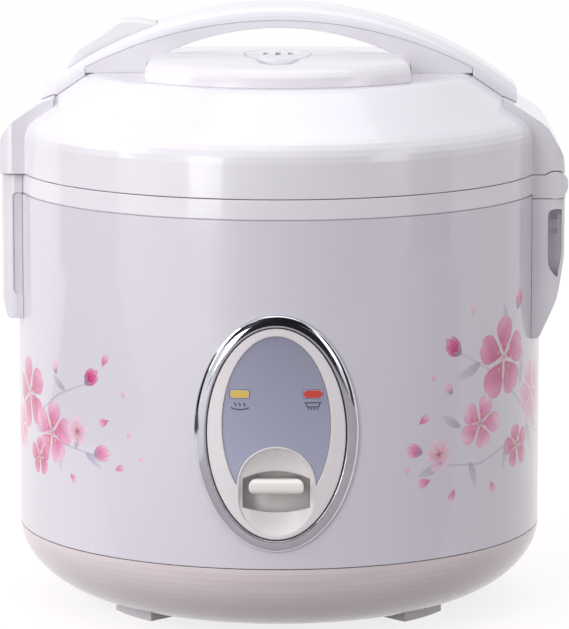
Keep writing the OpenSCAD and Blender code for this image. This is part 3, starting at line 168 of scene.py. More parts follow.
class Graph(Tree):
    """A material and its node tree, with short calls for what the finishes share."""

    def __init__(self, name: str, colour: Colour = (1.0, 1.0, 1.0), roughness: float = 0.9) -> None:
        """Starts a material with an empty tree and a surface shader.

        Args:
            name: The material's name.
            colour: Its colour as seen.
            roughness: Its roughness, which a texture may spread.
        """
        self.material = bpy.data.materials.new(name)
        self.material.use_nodes = True
        super().__init__(self.material.node_tree)
        self.tree.nodes.clear()
        self.shader = self.node("ShaderNodeBsdfPrincipled")
        self.node("ShaderNodeOutputMaterial", {"Surface": self.shader.outputs[0]})
        self.place = self.node("ShaderNodeTexCoord").outputs["Object"]
        self.colour, self.roughness, self.plain = colour, roughness, to_linear(colour)

    def noise(self, scale: float, detail: float = 2.0, roughness: float = 0.5,
              stretch: Optional[Point] = None) -> Socket:
        """Adds a noise over the piece's own place.

        Args:
            scale: Waves for each metre.
            detail: Octaves of finer noise.
            roughness: Weight of the finer noise.
            stretch: Scale along each axis, where they differ.

        Returns:
            The noise's value, about 0.5 in the middle.
        """
        place = self.place
        if stretch is not None:
            place = self.node("ShaderNodeMapping", {"Vector": place, "Scale": stretch}).outputs[0]
        return self.node("ShaderNodeTexNoise", {"Vector": place, "Scale": scale, "Detail": detail,
                                                "Roughness": roughness}).outputs["Fac"]

    def waves(self, scale: float, direction: str) -> Socket:
        """Adds even waves across the piece, by Blender's name of their direction."""
        return self.node("ShaderNodeTexWave", {"Vector": self.place, "Scale": scale},
                         bands_direction=direction).outputs["Fac"]

    def coordinate(self, axis: str) -> Socket:
        """Gives one coordinate of the point that is shaded, in metres."""
        return self.node("ShaderNodeSeparateXYZ", {0: self.place}).outputs[axis]

    def mix(self, share: object, first: object, second: object, blend: str = "MIX") -> Socket:
        """Mixes a share of a second colour into the first, by Blender's name of the blend."""
        return self.node("ShaderNodeMix", {0: share, 6: first, 7: second}, data_type="RGBA",
                         blend_type=blend).outputs[2]

    def tone(self, base: object, share: object, light: float) -> Socket:
        """Mixes a share of a darker or lighter tone of the material's own colour into a base."""
        return self.mix(share, base, to_linear([min(1.0, c * light) for c in self.colour]))

    def rubbed(self, base: object, edge: Socket, share: float, light: float) -> Socket:
        """Lightens a share of the edges, as handling does."""
        return self.tone(base, self.sums("MULTIPLY", edge, share), light)

    def matt(self, value: Socket, low: float, high: float) -> Socket:
        """Spreads the material's own roughness between two shares of it."""
        return self.spread(value, self.roughness * low, self.roughness * high)

    def bump(self, value: Socket, depth: float, normal: Optional[Socket] = None) -> Socket:
        """Turns a value from 0 to 1 into relief of a depth in metres, over a normal where one is given."""
        over = {} if normal is None else {"Normal": normal}
        return self.node("ShaderNodeBump", {"Distance": depth, "Height": value, **over}).outputs[0]

    def edges(self, radius: float) -> tuple[Socket, Socket]:
        """Rounds the edges in the shading, and finds them.

        Args:
            radius: Radius of the rounded edge in metres.

        Returns:
            The rounded normal, and a mask that is 1 along the edges.
        """
        bevel = self.node("ShaderNodeBevel", {"Radius": radius}, samples=6).outputs[0]
        flat = self.node("ShaderNodeNewGeometry").outputs["Normal"]
        dot = self.node("ShaderNodeVectorMath", {0: bevel, 1: flat}, operation="DOT_PRODUCT")
        return bevel, self.spread(dot.outputs["Value"], 1.0, 0.0, (0.93, 0.999))

    def finish(self, colour: object, roughness: object, normal: Optional[Socket],
               **sockets: object) -> Material:
        """Feeds the surface shader.

        Args:
            colour: Base colour or its socket.
            roughness: Roughness or its socket.
            normal: Normal, or None for the mesh's own.
            **sockets: More inputs of the shader, with _ for each space in their names.

        Returns:
            The finished material.
        """
        feeds = {"Base_Color": colour, "Roughness": roughness, **sockets}
        if normal is not None:
            feeds["Normal"] = normal
            if "Coat_Weight" in sockets:
                feeds["Coat_Normal"] = normal
        for key, value in feeds.items():
            self.feed(self.shader.inputs[key.replace("_", " ")], value)
        return self.material


# ---- finishes


@dataclass(frozen=True)
class Finish:
    """Look of one material: a name, a colour as seen, and a method that builds its shader."""

    name: str
    colour: Colour
    roughness: float = 0.3
    edge: float = 0.0005

    def start(self) -> tuple[Graph, Socket, Socket]:
        """Starts the finish's graph, with the normal of its softened edges and their mask."""
        g = Graph(self.name, self.colour, self.roughness)
        return (g, *g.edges(self.edge))

    def build(self) -> Material:
        """Builds the material."""
        raise NotImplementedError


@dataclass(frozen=True)
class MouldedPlastic(Finish):
    """Injection-moulded plastic with a faint flow mottle, a fine skin and softened edges."""

    edge: float = 0.0007
    coat: float = 0.35
    skin: float = 0.000004
    mottle: float = 0.97
    wear: float = 0.35

    def build(self) -> Material:
        """Builds the plastic.

        Returns:
            Its material.
        """
        g, normal, edge = self.start()
        flow = g.spread(g.noise(14.0, 4.0, 0.55, (1.0, 1.0, 1.6)), 0.0, 1.0)
        worn = g.sums("MULTIPLY", edge, g.spread(g.noise(260.0, 3.0), 0.0, self.wear, (0.35, 0.75)))
        base = g.tone(g.tone(g.plain, flow, self.mottle), worn, 1.05)
        rough = g.matt(g.noise(75.0, 4.0, 0.6), 0.82, 1.25)
        rough = g.sums("ADD", rough, g.sums("MULTIPLY", worn, 0.12))
        skin = g.bump(g.noise(1500.0), self.skin, normal)
        wave = g.bump(g.noise(26.0, 1.0), self.skin * 9.0, skin)
        return g.finish(base, rough, wave, Coat_Weight=self.coat, Coat_Roughness=0.06, IOR=1.48)


@dataclass(frozen=True)
class PrintedPaint(Finish):
    """Baked paint over sheet metal, with a print whose colours the mesh carries."""

    layer: str = "print"
    cloud: Colour = (0.82, 0.81, 0.86)

    def build(self) -> Material:
        """Builds the paint.

        Returns:
            Its material.
        """
        g = Graph(self.name, self.colour, self.roughness)
        ink = g.node("ShaderNodeAttribute", attribute_name=self.layer).outputs["Color"]
        cloud = g.spread(g.noise(6.0, 1.0, 0.5, (1.0, 1.0, 0.5)), 0.0, 0.10)
        base = g.mix(cloud, ink, to_linear(self.cloud), "MULTIPLY")
        wave = g.bump(g.noise(7.0, 0.0, 0.4, (1.0, 1.0, 0.3)), 0.00012)
        return g.finish(base, g.matt(g.noise(18.0), 0.9, 1.15), wave, Coat_Weight=0.6,
                        Coat_Roughness=0.05, IOR=1.5)


@dataclass(frozen=True)
class PlatedMetal(Finish):
    """Bright or satin metal, with fine haze, faint scratches and softened edges."""

    edge: float = 0.0003
    haze: float = 0.04
    scratch: float = 0.000002
    grain: Optional[Point] = None

    def build(self) -> Material:
        """Builds the metal.

        Returns:
            Its material.
        """
        g, normal, edge = self.start()
        stain = g.spread(g.noise(40.0, 5.0, 0.6), 0.0, 1.0)
        base = g.rubbed(g.tone(g.plain, stain, 0.93), edge, 0.4, 1.12)
        rough = g.spread(g.noise(170.0, 4.0, 0.65, self.grain), self.roughness, self.roughness + self.haze)
        lines = g.bump(g.noise(900.0, 3.0, 0.7, self.grain), self.scratch, normal)
        return g.finish(base, rough, lines, Metallic=1.0)


@dataclass(frozen=True)
class CastMetal(Finish):
    """Cast or spun aluminium with a speckled, slightly pitted surface."""

    metallic: float = 1.0
    speckle: float = 0.10
    pit: float = 0.00004

    def build(self) -> Material:
        """Builds the casting.

        Returns:
            Its material.
        """
        g, normal, edge = self.start()
        dots = g.node("ShaderNodeTexVoronoi", {"Vector": g.place, "Scale": 520.0}, feature="F1")
        fleck = g.spread(dots.outputs["Distance"], self.speckle * 6.0, 0.0, (0.05, 0.32))
        base = g.tone(g.tone(g.plain, fleck, 1.18), g.spread(g.noise(22.0, 4.0), 0.0, 0.6), 0.86)
        pits = g.bump(g.noise(700.0, 4.0, 0.6), self.pit, normal)
        return g.finish(g.rubbed(base, edge, 0.5, 1.2), g.matt(g.noise(240.0, 4.0, 0.6), 0.85, 1.2), pits,
                        Metallic=self.metallic)


@dataclass(frozen=True)
class TurnedSheet(Finish):
    """Spun or rolled sheet metal with fine lines around the upright axis."""

    edge: float = 0.0004
    lines: float = 0.000003

    def build(self) -> Material:
        """Builds the sheet.

        Returns:
            Its material.
        """
        g, normal, edge = self.start()
        brushed = g.noise(60.0, 5.0, 0.7, (0.6, 0.6, 26.0))
        base = g.rubbed(g.tone(g.plain, g.spread(brushed, 0.0, 1.0), 0.9), edge, 0.5, 1.15)
        lines = g.bump(brushed, self.lines, normal)
        return g.finish(base, g.matt(brushed, 0.8, 1.3), lines, Metallic=1.0)


@dataclass(frozen=True)
class SoftMoulding(Finish):
    """Rubber, unglazed ware or ink: a dull, finely grained, slightly dusty surface."""

    dust: float = 0.35
    grain: float = 0.00002

    def build(self) -> Material:
        """Builds the moulding.

        Returns:
            Its material.
        """
        g, normal, edge = self.start()
        cloud = g.spread(g.noise(48.0, 5.0, 0.65), 0.0, self.dust)
        base = g.rubbed(g.tone(g.plain, cloud, 1.14), edge, 0.4, 1.2)
        grain = g.bump(g.noise(1200.0, 3.0, 0.6), self.grain, normal)
        return g.finish(base, g.matt(g.noise(130.0, 3.0), 0.88, 1.1), grain)


@dataclass(frozen=True)
class TintedLeaf(Finish):
    """Tinted acrylic leaf under a hard gloss, painted lighter towards the bottom as a painted reflection
    that fades with height.
    """

    edge: float = 0.0003
    top_colour: Colour = (0.57, 0.575, 0.66)
    low: float = 0.065
    high: float = 0.155

    def build(self) -> Material:
        """Builds the leaf.

        Returns:
            Its material.
        """
        g, normal, edge = self.start()
        # Painted reflection: the leaf is lightest at the bottom and fades to its top colour between the
        # heights low and high.
        reflection_fade = g.spread(g.coordinate("Z"), 0.0, 1.0, (self.low, self.high))
        pearl = g.spread(g.noise(1800.0, 2.0, 0.6), 0.0, 0.06)
        base = g.tone(g.mix(reflection_fade, g.plain, to_linear(self.top_colour)), pearl, 1.2)
        return g.finish(g.rubbed(base, edge, 0.5, 1.25), g.matt(g.noise(90.0, 3.0), 0.8, 1.25),
                        g.bump(g.noise(300.0), 0.000003, normal), Coat_Weight=0.7, Coat_Roughness=0.04)


@dataclass(frozen=True)
class LensPlastic(Finish):
    """Clear dyed plastic of a lamp lens, with fine prism lines and a faint painted glow, masked to a rounded
    window.
    """

    edge: float = 0.0004
    at: Spot = (0.0, 0.0)
    half_long: float = 4.55
    half_high: float = 1.85
    mask: Colour = (0.69, 0.70, 0.80)

    def window(self, g: Graph) -> Socket:
        """Finds the rounded window in the ink behind the lens.

        Args:
            g: The lens's graph.

        Returns:
            A value that is 1 in the window and 0 on the ink around it.
        """
        across = g.sums("ABSOLUTE", g.sums("SUBTRACT", g.coordinate("X"), self.at[0] * MM))
        across = g.sums("MAXIMUM", g.sums("SUBTRACT", across, (self.half_long - self.half_high) * MM), 0.0)
        up = g.sums("SUBTRACT", g.coordinate("Z"), self.at[1] * MM)
        far = g.sums("SQRT", g.sums("ADD", g.sums("MULTIPLY", across, across), g.sums("MULTIPLY", up, up)))
        return g.spread(far, 1.0, 0.0, ((self.half_high - 0.2) * MM, (self.half_high + 0.15) * MM))

    def build(self) -> Material:
        """Builds the lens.

        Returns:
            Its material.
        """
        g, normal, edge = self.start()
        prisms = g.spread(g.waves(420.0, "X"), 0.0, 0.35, (0.0, 1.0))
        base = g.rubbed(g.tone(g.plain, prisms, 0.8), edge, 0.3, 1.25)
        base = g.mix(self.window(g), to_linear(self.mask), base)
        # The lens is given a faint painted glow of its own colour, though its lamp is unlit.
        return g.finish(base, g.matt(g.noise(200.0), 0.8, 1.2), g.bump(g.noise(500.0), 0.000003, normal),
                        Coat_Weight=0.4, Coat_Roughness=0.03, Emission_Color=base, Emission_Strength=0.04)


@dataclass(frozen=True)
class CircuitBoard(Finish):
    """Pressed-paper circuit board with a woven ground."""

    edge: float = 0.0003

    def build(self) -> Material:
        """Builds the board.

        Returns:
            Its material.
        """
        g, normal, edge = self.start()
        weave = g.waves(300.0, "DIAGONAL")
        base = g.tone(g.plain, g.spread(weave, 0.0, 0.3, (0.0, 1.0)), 0.75)
        return g.finish(g.rubbed(base, edge, 0.5, 1.2), g.matt(g.noise(160.0, 3.0), 0.85, 1.15),
                        g.bump(weave, 0.00002, normal))


WHITE = MouldedPlastic("white_plastic", (0.932, 0.922, 0.952), 0.20, coat=0.45)
SOFT_WHITE = MouldedPlastic("deck_plastic", (0.918, 0.905, 0.930), 0.20, coat=0.45, edge=0.0018)
PEARL = MouldedPlastic("pearl_plastic", (0.95, 0.95, 0.965), 0.22, coat=0.5)
CREAM = MouldedPlastic("bezel_plastic", (0.925, 0.912, 0.922), 0.26, coat=0.35, edge=0.0011)
# The knob's plastic is whiter than the other whites as painted light, to lift the shade that falls in its
# recess.
LIT_KNOB = MouldedPlastic("knob_plastic_lit", (0.985, 0.972, 0.962), 0.20, coat=0.6, edge=0.0011)
BASE = MouldedPlastic("base_plastic", (0.897, 0.856, 0.872), 0.20, coat=0.45)
CUP = MouldedPlastic("cup_plastic", (0.83, 0.82, 0.86), 0.30, coat=0.3, edge=0.0004)
GREY = MouldedPlastic("grey_plastic", (0.84, 0.84, 0.86), 0.42, coat=0.05, edge=0.0004, skin=0.00001)
DARK = MouldedPlastic("dark_plastic", (0.17, 0.17, 0.19), 0.46, coat=0.05, edge=0.0004,
                      skin=0.00002, mottle=0.85, wear=0.6)
LAMP = MouldedPlastic("lamp_glass", (0.95, 0.72, 0.52), 0.12, coat=0.7, edge=0.0003)
PAINT = PrintedPaint("sleeve_paint", (0.868, 0.856, 0.895), 0.24)
CHROME = PlatedMetal("chrome", (0.84, 0.845, 0.87), 0.05, haze=0.05)
STEEL = PlatedMetal("bright_steel", (0.70, 0.70, 0.72), 0.26, haze=0.16, scratch=0.000006,
                    grain=(1.0, 9.0, 9.0))
TUBE = PlatedMetal("element_tube", (0.44, 0.43, 0.45), 0.42, haze=0.2, scratch=0.00001)
BRASS = PlatedMetal("brass_pins", (0.83, 0.72, 0.44), 0.2, haze=0.15, scratch=0.000004,
                    grain=(1.0, 6.0, 1.0))
POT = CastMetal("pot_metal", (0.50, 0.50, 0.53), 0.36, metallic=0.85, speckle=0.12)
PLATE = CastMetal("cast_plate", (0.74, 0.74, 0.76), 0.38, speckle=0.05)
MAGNET = CastMetal("magnet_black", (0.25, 0.25, 0.28), 0.55, metallic=0.5, speckle=0.03)
SHEET = TurnedSheet("sheet_metal", (0.74, 0.75, 0.77), 0.36)
FOOT = SoftMoulding("soft_foot", (0.88, 0.87, 0.89), 0.55)
SEAL = SoftMoulding("seal_rubber", (0.72, 0.72, 0.74), 0.62)
CERAMIC = SoftMoulding("ceramic", (0.90, 0.88, 0.80), 0.5, dust=0.2)
MICA = SoftMoulding("mica", (0.55, 0.45, 0.35), 0.5, dust=0.6)
# The leaf's colour here is its lightened bottom, where the painted reflection is strongest.
TINT = TintedLeaf("panel_tint", (0.69, 0.70, 0.80), 0.20)
AMBER = LensPlastic("amber_lens", (0.88, 0.76, 0.38), 0.16, at=(-17.5, 126.5))
RED = LensPlastic("red_lens", (0.84, 0.28, 0.22), 0.16, at=(17.5, 126.5))
BOARD = CircuitBoard("board", (0.60, 0.50, 0.30), 0.6)
MARKS = SoftMoulding("mark_ink", (0.30, 0.31, 0.38), 0.5, dust=0.2)

MADE: dict[str, Material] = {}


def material(finish: Finish) -> Material:
    """Gives a finish's material, built once."""
    if finish.name not in MADE:
        MADE[finish.name] = finish.build()
    return MADE[finish.name]


# ---- meshes


def stand(name: str, data: bpy.types.ID, at: Point = (0.0, 0.0, 0.0), aim: Optional[Point] = None,
          axis: str = "Z") -> Piece:
    """Adds an object to the scene.

    Args:
        name: Its name.
        data: Its mesh, lamp or camera.
        at: Its place.
        aim: The point that it faces, or None where it isn't turned.
        axis: Its own axis that faces the point.

    Returns:
        The new object.
    """
    made = bpy.data.objects.new(name, data)
    made.location = at
    if aim is not None:
        made.rotation_euler = (Vector(aim) - Vector(at)).to_track_quat(axis, "Y").to_euler()
    bpy.context.scene.collection.objects.link(made)
    return made


def finished(name: str, mesh: bpy.types.Mesh, finish: Finish, smooth: float) -> Piece:
    """Shades a mesh smooth, gives it its finish and adds it to the scene.

    Args:
        name: The piece's name.
        mesh: Its mesh.
        finish: The finish that it wears.
        smooth: Largest angle in degrees that is shaded smooth.

    Returns:
        The piece.
    """
    mesh.polygons.foreach_set("use_smooth", [True] * len(mesh.polygons))
    mesh.set_sharp_from_angle(angle=math.radians(smooth))
    mesh.materials.append(material(finish))
    return stand(name, mesh)


def mesh_piece(name: str, points: np.ndarray, faces: Sequence[Sequence[int]], finish: Finish,
               smooth: float) -> Piece:
    """Makes a piece from points and faces.

    Args:
        name: The piece's name.
        points: Points in millimetres, one row each.
        faces: Point numbers of each face.
        finish: The finish that it wears.
        smooth: Largest angle in degrees that is shaded smooth.

    Returns:
        The piece.
    """
    mesh = bpy.data.meshes.new(name)
    mesh.from_pydata((points * MM).tolist(), [], faces)
    mesh.validate()
    mesh.update()
    return finished(name, mesh, finish, smooth)


def round_faces(rows: int, columns: int) -> list[tuple[int, ...]]:
    """Lists the faces of a grid of points whose rows are closed rings.

    Args:
        rows: Number of rows of points.
        columns: Number of points in a row.

    Returns:
        Four point numbers for each face.
    """
    faces = []
    for i in range(rows - 1):
        for j in range(columns):
            m = (j + 1) % columns
            faces.append((i * columns + j, i * columns + m, (i + 1) * columns + m, (i + 1) * columns + j))
    return faces


def rod_faces(rows: int, columns: int) -> list[tuple[int, ...]]:
    """Lists the faces of a grid of closed rings that is capped at both ends."""
    caps = [tuple(range(columns))[::-1], tuple((rows - 1) * columns + k for k in range(columns))]
    return [*round_faces(rows, columns), *caps]


def place(piece: Piece, body: Ride, slot: str, *nodes: str) -> None:
    """Sets a piece on its body.

    Args:
        piece: The piece.
        body: The body that it rides on.
        slot: Name of one of the record's material slots; not used.
        *nodes: The nodes that it stands for.
    """
    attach(piece, body.value)
    if nodes:
        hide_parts(*nodes)
    size = ", ".join(f"{d / MM:.1f}" for d in piece.dimensions)
    LOG.info("%s: %d faces, %s mm", piece.name, len(piece.data.polygons), size)


@dataclass
class CoilSpring:
    """A compression spring wound in a node's room."""

    node: str
    wire: float
    turns: int
    body: Ride
    joint: str
    travel: float
    steps: int = 36
    sides: int = 12

    def build(self) -> None:
        """Winds the spring in its node's room and sets it on its body."""
        low, high = (np.array(corner, float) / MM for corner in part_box(self.node))
        middle, length = (low + high) / 2, high[2] - low[2]
        along = np.linspace(0, 1, self.turns * self.steps + 1)[:, None]
        turn = 2 * np.pi * self.turns * along
        around = np.linspace(0, 2 * np.pi, self.sides, endpoint=False)
        out = (high[0] - low[0]) / 2 - self.wire + self.wire * np.cos(around)
        lift = self.wire + (length - 2 * self.wire) * along + self.wire * np.sin(around)
        points = np.stack([middle[0] + np.cos(turn) * out, middle[1] + np.sin(turn) * out,
                           low[2] + lift], -1).reshape(-1, 3)
        piece = mesh_piece(f"{self.node}_coil", points, rod_faces(len(turn), self.sides), STEEL, smooth=50.0)
        place(piece, self.body, "bright_steel", self.node)
        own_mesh(piece)


Looks = tuple[tuple[Finish, tuple[str, ...]], ...]


@dataclass
class Assembly:
    """A sub-assembly of the cooker: pieces of its own, and the finishes that its nodes wear."""

    frame: dict
    looks: Looks = ()

    def pieces(self) -> None:
        """Builds the sub-assembly's own pieces."""
        raise NotImplementedError

    def build(self) -> None:
        """Builds the pieces, and gives each node its finish."""
        self.pieces()
        for finish, names in self.looks:
            for name in names:
                node = self.frame["nodes"][name]
                if not node.material_slots:
                    node.data.materials.append(material(finish))
                for slot in node.material_slots:
                    slot.material = material(finish)
                LOG.info("%s: dressed in %s", name, finish.name)
        LOG.info("%s built", type(self).__name__)


# ---- the flower print


@dataclass(frozen=True)
class Wash:
    """Two tones of one watercolour wash, from a petal's base to its tip."""

    base: Colour
    tip: Colour


CRIMSON = Wash((0.74, 0.13, 0.40), (0.93, 0.55, 0.71))
ROSE = Wash((0.86, 0.35, 0.58), (0.965, 0.79, 0.87))
BLUSH = Wash((0.93, 0.66, 0.77), (0.965, 0.89, 0.935))
LEAF = Wash((0.60, 0.56, 0.68), (0.79, 0.77, 0.85))
HEART = (0.97, 0.90, 0.80)
FILAMENT = (0.62, 0.12, 0.34)
POLLEN = (0.93, 0.72, 0.52)


@dataclass(frozen=True)
class Spray:
    """One spray of the print: stems by width and points, the rest as the painter's methods take them."""

    stems: tuple[tuple[float, tuple[Spot, ...]], ...]
    leaves: tuple[tuple[float, float, float, float], ...]
    blossoms: tuple[tuple[float, float, float, Wash, float, float], ...]
    buds: tuple[tuple[float, float, float, float, Wash], ...]
    petals: tuple[tuple[float, float, float, float], ...]
    rosy: float


RIGHT_SPRAY = Spray(
    stems=((1.1, ((196, 84), (172, 92), (146, 112), (122, 128), (98, 140))),
           (0.9, ((168, 94), (140, 92), (112, 84), (90, 86), (74, 94))),
           (0.8, ((122, 128), (130, 146), (146, 156)))),
    leaves=((150, 118, 80, 20), (176, 92, 120, 22), (158, 98, -60, 20), (104, 86, -70, 15),
            (86, 88, 200, 16), (112, 134, 200, 18), (134, 92, -100, 15), (184, 90, -40, 16),
            (98, 104, 150, 14), (136, 150, 110, 13)),
    blossoms=((132, 134, 41, CRIMSON, 12, 1.0), (168, 112, 36, ROSE, 40, 0.9),
              (112, 104, 30, ROSE, -8, 0.85), (146, 88, 27, CRIMSON, 25, 0.8),
              (188, 140, 25, BLUSH, 5, 1.0), (84, 92, 16, BLUSH, 30, 1.0)),
    buds=((98, 140, 140, 13, CRIMSON), (146, 156, 60, 12, ROSE), (74, 94, 160, 10, ROSE),
          (92, 121, 120, 8, BLUSH)),
    petals=((72, 108, 30, 7), (79, 80, 190, 8), (66, 84, 100, 5), (94, 74, 240, 7), (80, 128, 60, 5),
            (106, 158, 80, 6), (120, 74, 300, 7)),
    rosy=7)
LEFT_SPRAY = Spray(
    stems=((1.1, ((-192, 128), (-168, 120), (-146, 104), (-122, 92), (-98, 90))),
           (0.9, ((-146, 104), (-126, 116), (-104, 124)))),
    leaves=((-152, 108, 100, 19), (-128, 94, -75, 17), (-112, 91, 60, 15), (-170, 118, -100, 20),
            (-136, 100, 200, 17), (-120, 119, 150, 13), (-104, 90, -30, 13)),
    blossoms=((-160, 112, 38, CRIMSON, 30, 0.95), (-132, 96, 34, ROSE, 8, 0.9),
              (-178, 92, 30, ROSE, 50, 0.9), (-146, 82, 22, CRIMSON, 20, 0.8),
              (-110, 100, 15, BLUSH, 14, 1.0)),
    buds=((-98, 90, 10, 12, ROSE), (-104, 124, 40, 12, CRIMSON), (-128, 126, 100, 9, BLUSH)),
    petals=((-88, 108, 200, 7), (-84, 84, 20, 6), (-76, 100, 80, 5), (-92, 134, 60, 7), (-116, 78, 320, 6),
            (-78, 120, 120, 5), (-70, 90, 30, 4)),
    rosy=6)


@dataclass
class SprayPainter:
    """Paints a print onto a grid of points on the unrolled sleeve.

    Places are across and up in millimetres, and directions in degrees from the line across.
    """

    across: np.ndarray
    up: np.ndarray
    ground: Colour
    seed: int = 11
    stamens: int = 9
    canvas: np.ndarray = field(init=False)
    random: np.random.Generator = field(init=False)

    def __post_init__(self) -> None:
        """Fills the canvas with the ground colour."""
        self.canvas = np.empty(self.across.shape + (3,))
        self.canvas[:] = self.ground
        self.random = np.random.default_rng(self.seed)

    def lay(self, box: tuple[slice, slice], colour: np.ndarray, cover: np.ndarray) -> None:
        """Lays colour over part of the canvas.

        Args:
            box: The part, as slices of rows and columns.
            colour: One colour, or the colour of each point.
            cover: Share of each point that the colour covers.
        """
        part = self.canvas[box]
        part += (colour - part) * np.clip(cover, 0.0, 1.0)[..., None]

    def near(self, x: float, z: float, reach: float) -> tuple[slice, slice]:
        """Finds the rows and columns within a distance of a point.

        Args:
            x, z: The point.
            reach: The distance.

        Returns:
            Slices of the rows and the columns.
        """
        columns = np.searchsorted(self.across[0], (x - reach, x + reach))
        rows = np.searchsorted(self.up[:, 0], (z - reach, z + reach))
        return slice(*rows), slice(*columns)

    def petal(self, x: float, z: float, angle: float, length: float, width: float, wash: Wash,
              cover: float = 0.92, notch: float = 0.10, veins: float = 0.35,
              blunt: float = 0.62) -> None:
        """Paints one petal or leaf from its base outwards.

        Args:
            x, z: Its base.
            angle: Its direction.
            length: Its length.
            width: Its greatest width.
            wash: Tones from base to tip.
            cover: How densely the wash covers.
            notch: Depth of the notch at the tip, as a share of the length.
            veins: Strength of the darker veins.
            blunt: How far out the petal is widest.
        """
        box = self.near(x, z, length * 1.15)
        dx, dz = self.across[box] - x, self.up[box] - z
        turn = math.radians(angle)
        bend = 0.10 * length * np.sin(3.0 * (dx * math.cos(turn) + dz * math.sin(turn)) / length)
        u = (dx * math.cos(turn) + dz * math.sin(turn)) / length
        v = (-dx * math.sin(turn) + dz * math.cos(turn) - bend * 0.35) / (width / 2)
        power = math.log(0.5) / math.log(blunt)
        t = np.clip(u / (1 - notch * np.exp(-(v / 0.22) ** 2)), 0.0, 1.0)
        half = np.sin(np.pi * t ** power) ** 0.75
        inside = (half - np.abs(v)) * width / 2
        edge = np.minimum(inside, np.minimum(u, 1.0 - u) * length + 0.4)
        mask = np.clip(edge / 0.5 + 0.3, 0.0, 1.0)
        rim = np.exp(-((edge - 0.3) / 0.45) ** 2)
        lines = np.cos(v / np.maximum(half, 0.25) * 9.0 + 0.8 * np.sin(5.0 * u)) ** 6
        tone = np.clip(1.15 * u - 0.10 - veins * lines * (1.0 - u) + 0.10 * np.sin(9.0 * u + 4.0 * v),
                       0.0, 1.0) ** 0.9
        tone = np.clip(tone - 0.28 * rim, 0.0, 1.0)[..., None]
        colour = (1.0 - tone) * np.array(wash.base) + tone * np.array(wash.tip)
        self.lay(box, colour, mask * (cover - 0.22 * np.clip(u, 0, 1)))

    def stroke(self, points: Sequence[Spot], width: float, colour: Colour,
               cover: float = 0.8) -> None:
        """Paints a slender curved stroke through points.

        Args:
            points: The points.
            width: Its width at its thickest.
            colour: Its colour.
            cover: How densely it covers.
        """
        track = np.array(points, float)
        runs = np.concatenate([[0.0], np.cumsum(np.hypot(*np.diff(track, axis=0).T))])
        fine = np.linspace(0.0, runs[-1], max(12, int(runs[-1] / 0.3)))
        curve = np.stack([np.interp(fine, runs, track[:, k]) for k in (0, 1)], 1)
        for _ in range(max(4, len(curve) // 3)):
            curve[1:-1] = (curve[:-2] + 2 * curve[1:-1] + curve[2:]) / 4
        middle = (curve.min(0) + curve.max(0)) / 2
        reach = np.ptp(curve, axis=0).max() / 2 + 2.0
        box = self.near(middle[0], middle[1], reach)
        x, z = self.across[box], self.up[box]
        gap = np.full(x.shape, 1e9)
        for k, point in enumerate(curve):
            thick = width * (0.35 + 0.65 * math.sin(math.pi * (0.15 + 0.8 * k / len(curve))))
            gap = np.minimum(gap, np.hypot(x - point[0], z - point[1]) - thick / 2)
        self.lay(box, np.array(colour), np.clip(0.5 - gap / 0.5, 0, 1) * cover)

    def dot(self, x: float, z: float, radius: float, colour: Colour, cover: float = 0.9) -> None:
        """Paints a round dot with a soft edge.

        Args:
            x, z: Its middle.
            radius: Its radius.
            colour: Its colour.
            cover: How densely it covers.
        """
        box = self.near(x, z, radius + 1.5)
        gap = np.hypot(self.across[box] - x, self.up[box] - z) - radius
        self.lay(box, np.array(colour), np.clip(0.5 - gap / 0.6, 0, 1) * cover)

    def blossom(self, x: float, z: float, size: float, wash: Wash, turn: float = 0.0,
                squeeze: float = 1.0) -> None:
        """Paints an open blossom of five notched petals with stamens.

        Args:
            x, z: Its heart.
            size: Its diameter.
            wash: Tones of the petals.
            turn: Its turn.
            squeeze: Height over width, below 1 for a blossom that is seen from the side.
        """
        for k in (0, 2, 4, 1, 3):
            angle = math.radians(turn + 72 * k)
            dx, dz = math.cos(angle), squeeze * math.sin(angle)
            reach = size / 2 * math.hypot(dx, dz) * self.random.uniform(0.93, 1.06)
            self.petal(x + 0.05 * size * dx, z + 0.05 * size * dz, math.degrees(math.atan2(dz, dx)),
                       reach, size * self.random.uniform(0.36, 0.42) * (0.6 + 0.4 * squeeze), wash)
        self.dot(x, z, size * 0.045, HEART, 0.8)
        for k in range(self.stamens):
            angle = math.radians(turn + 20 + 360 / self.stamens * k)
            far = size * self.random.uniform(0.13, 0.19)
            tip = (x + far * math.cos(angle), z + squeeze * far * math.sin(angle))
            self.stroke([(x, z), tip], 0.45, FILAMENT, 0.6)
            self.dot(*tip, size * 0.012 + 0.25, POLLEN)

    def bud(self, x: float, z: float, angle: float, size: float, wash: Wash) -> None:
        """Paints a closed bud in its leafy cup.

        Args:
            x, z: Its base.
            angle: Its direction.
            size: Its length.
            wash: Tones of the petals.
        """
        for lean in (-16, 16, 0):
            self.petal(x, z, angle + lean, size * (1.0 - 0.008 * abs(lean)), size * 0.42, wash,
                       notch=0.0, blunt=0.5)
        for lean in (-28, 28):
            self.petal(x, z, angle + lean, size * 0.42, size * 0.18, LEAF, notch=0.0, blunt=0.4)

    def leaf(self, x: float, z: float, angle: float, length: float, cover: float = 0.6) -> None:
        """Paints a slim leaf with its midrib.

        Args:
            x, z: Its base.
            angle: Its direction.
            length: Its length.
            cover: How densely it covers.
        """
        self.petal(x, z, angle, length, length * 0.30, LEAF, cover, 0.0, 0.2, 0.45)
        turn = math.radians(angle)
        self.stroke([(x, z), (x + 0.85 * length * math.cos(turn), z + 0.85 * length * math.sin(turn))],
                    0.35, LEAF.base, 0.4)

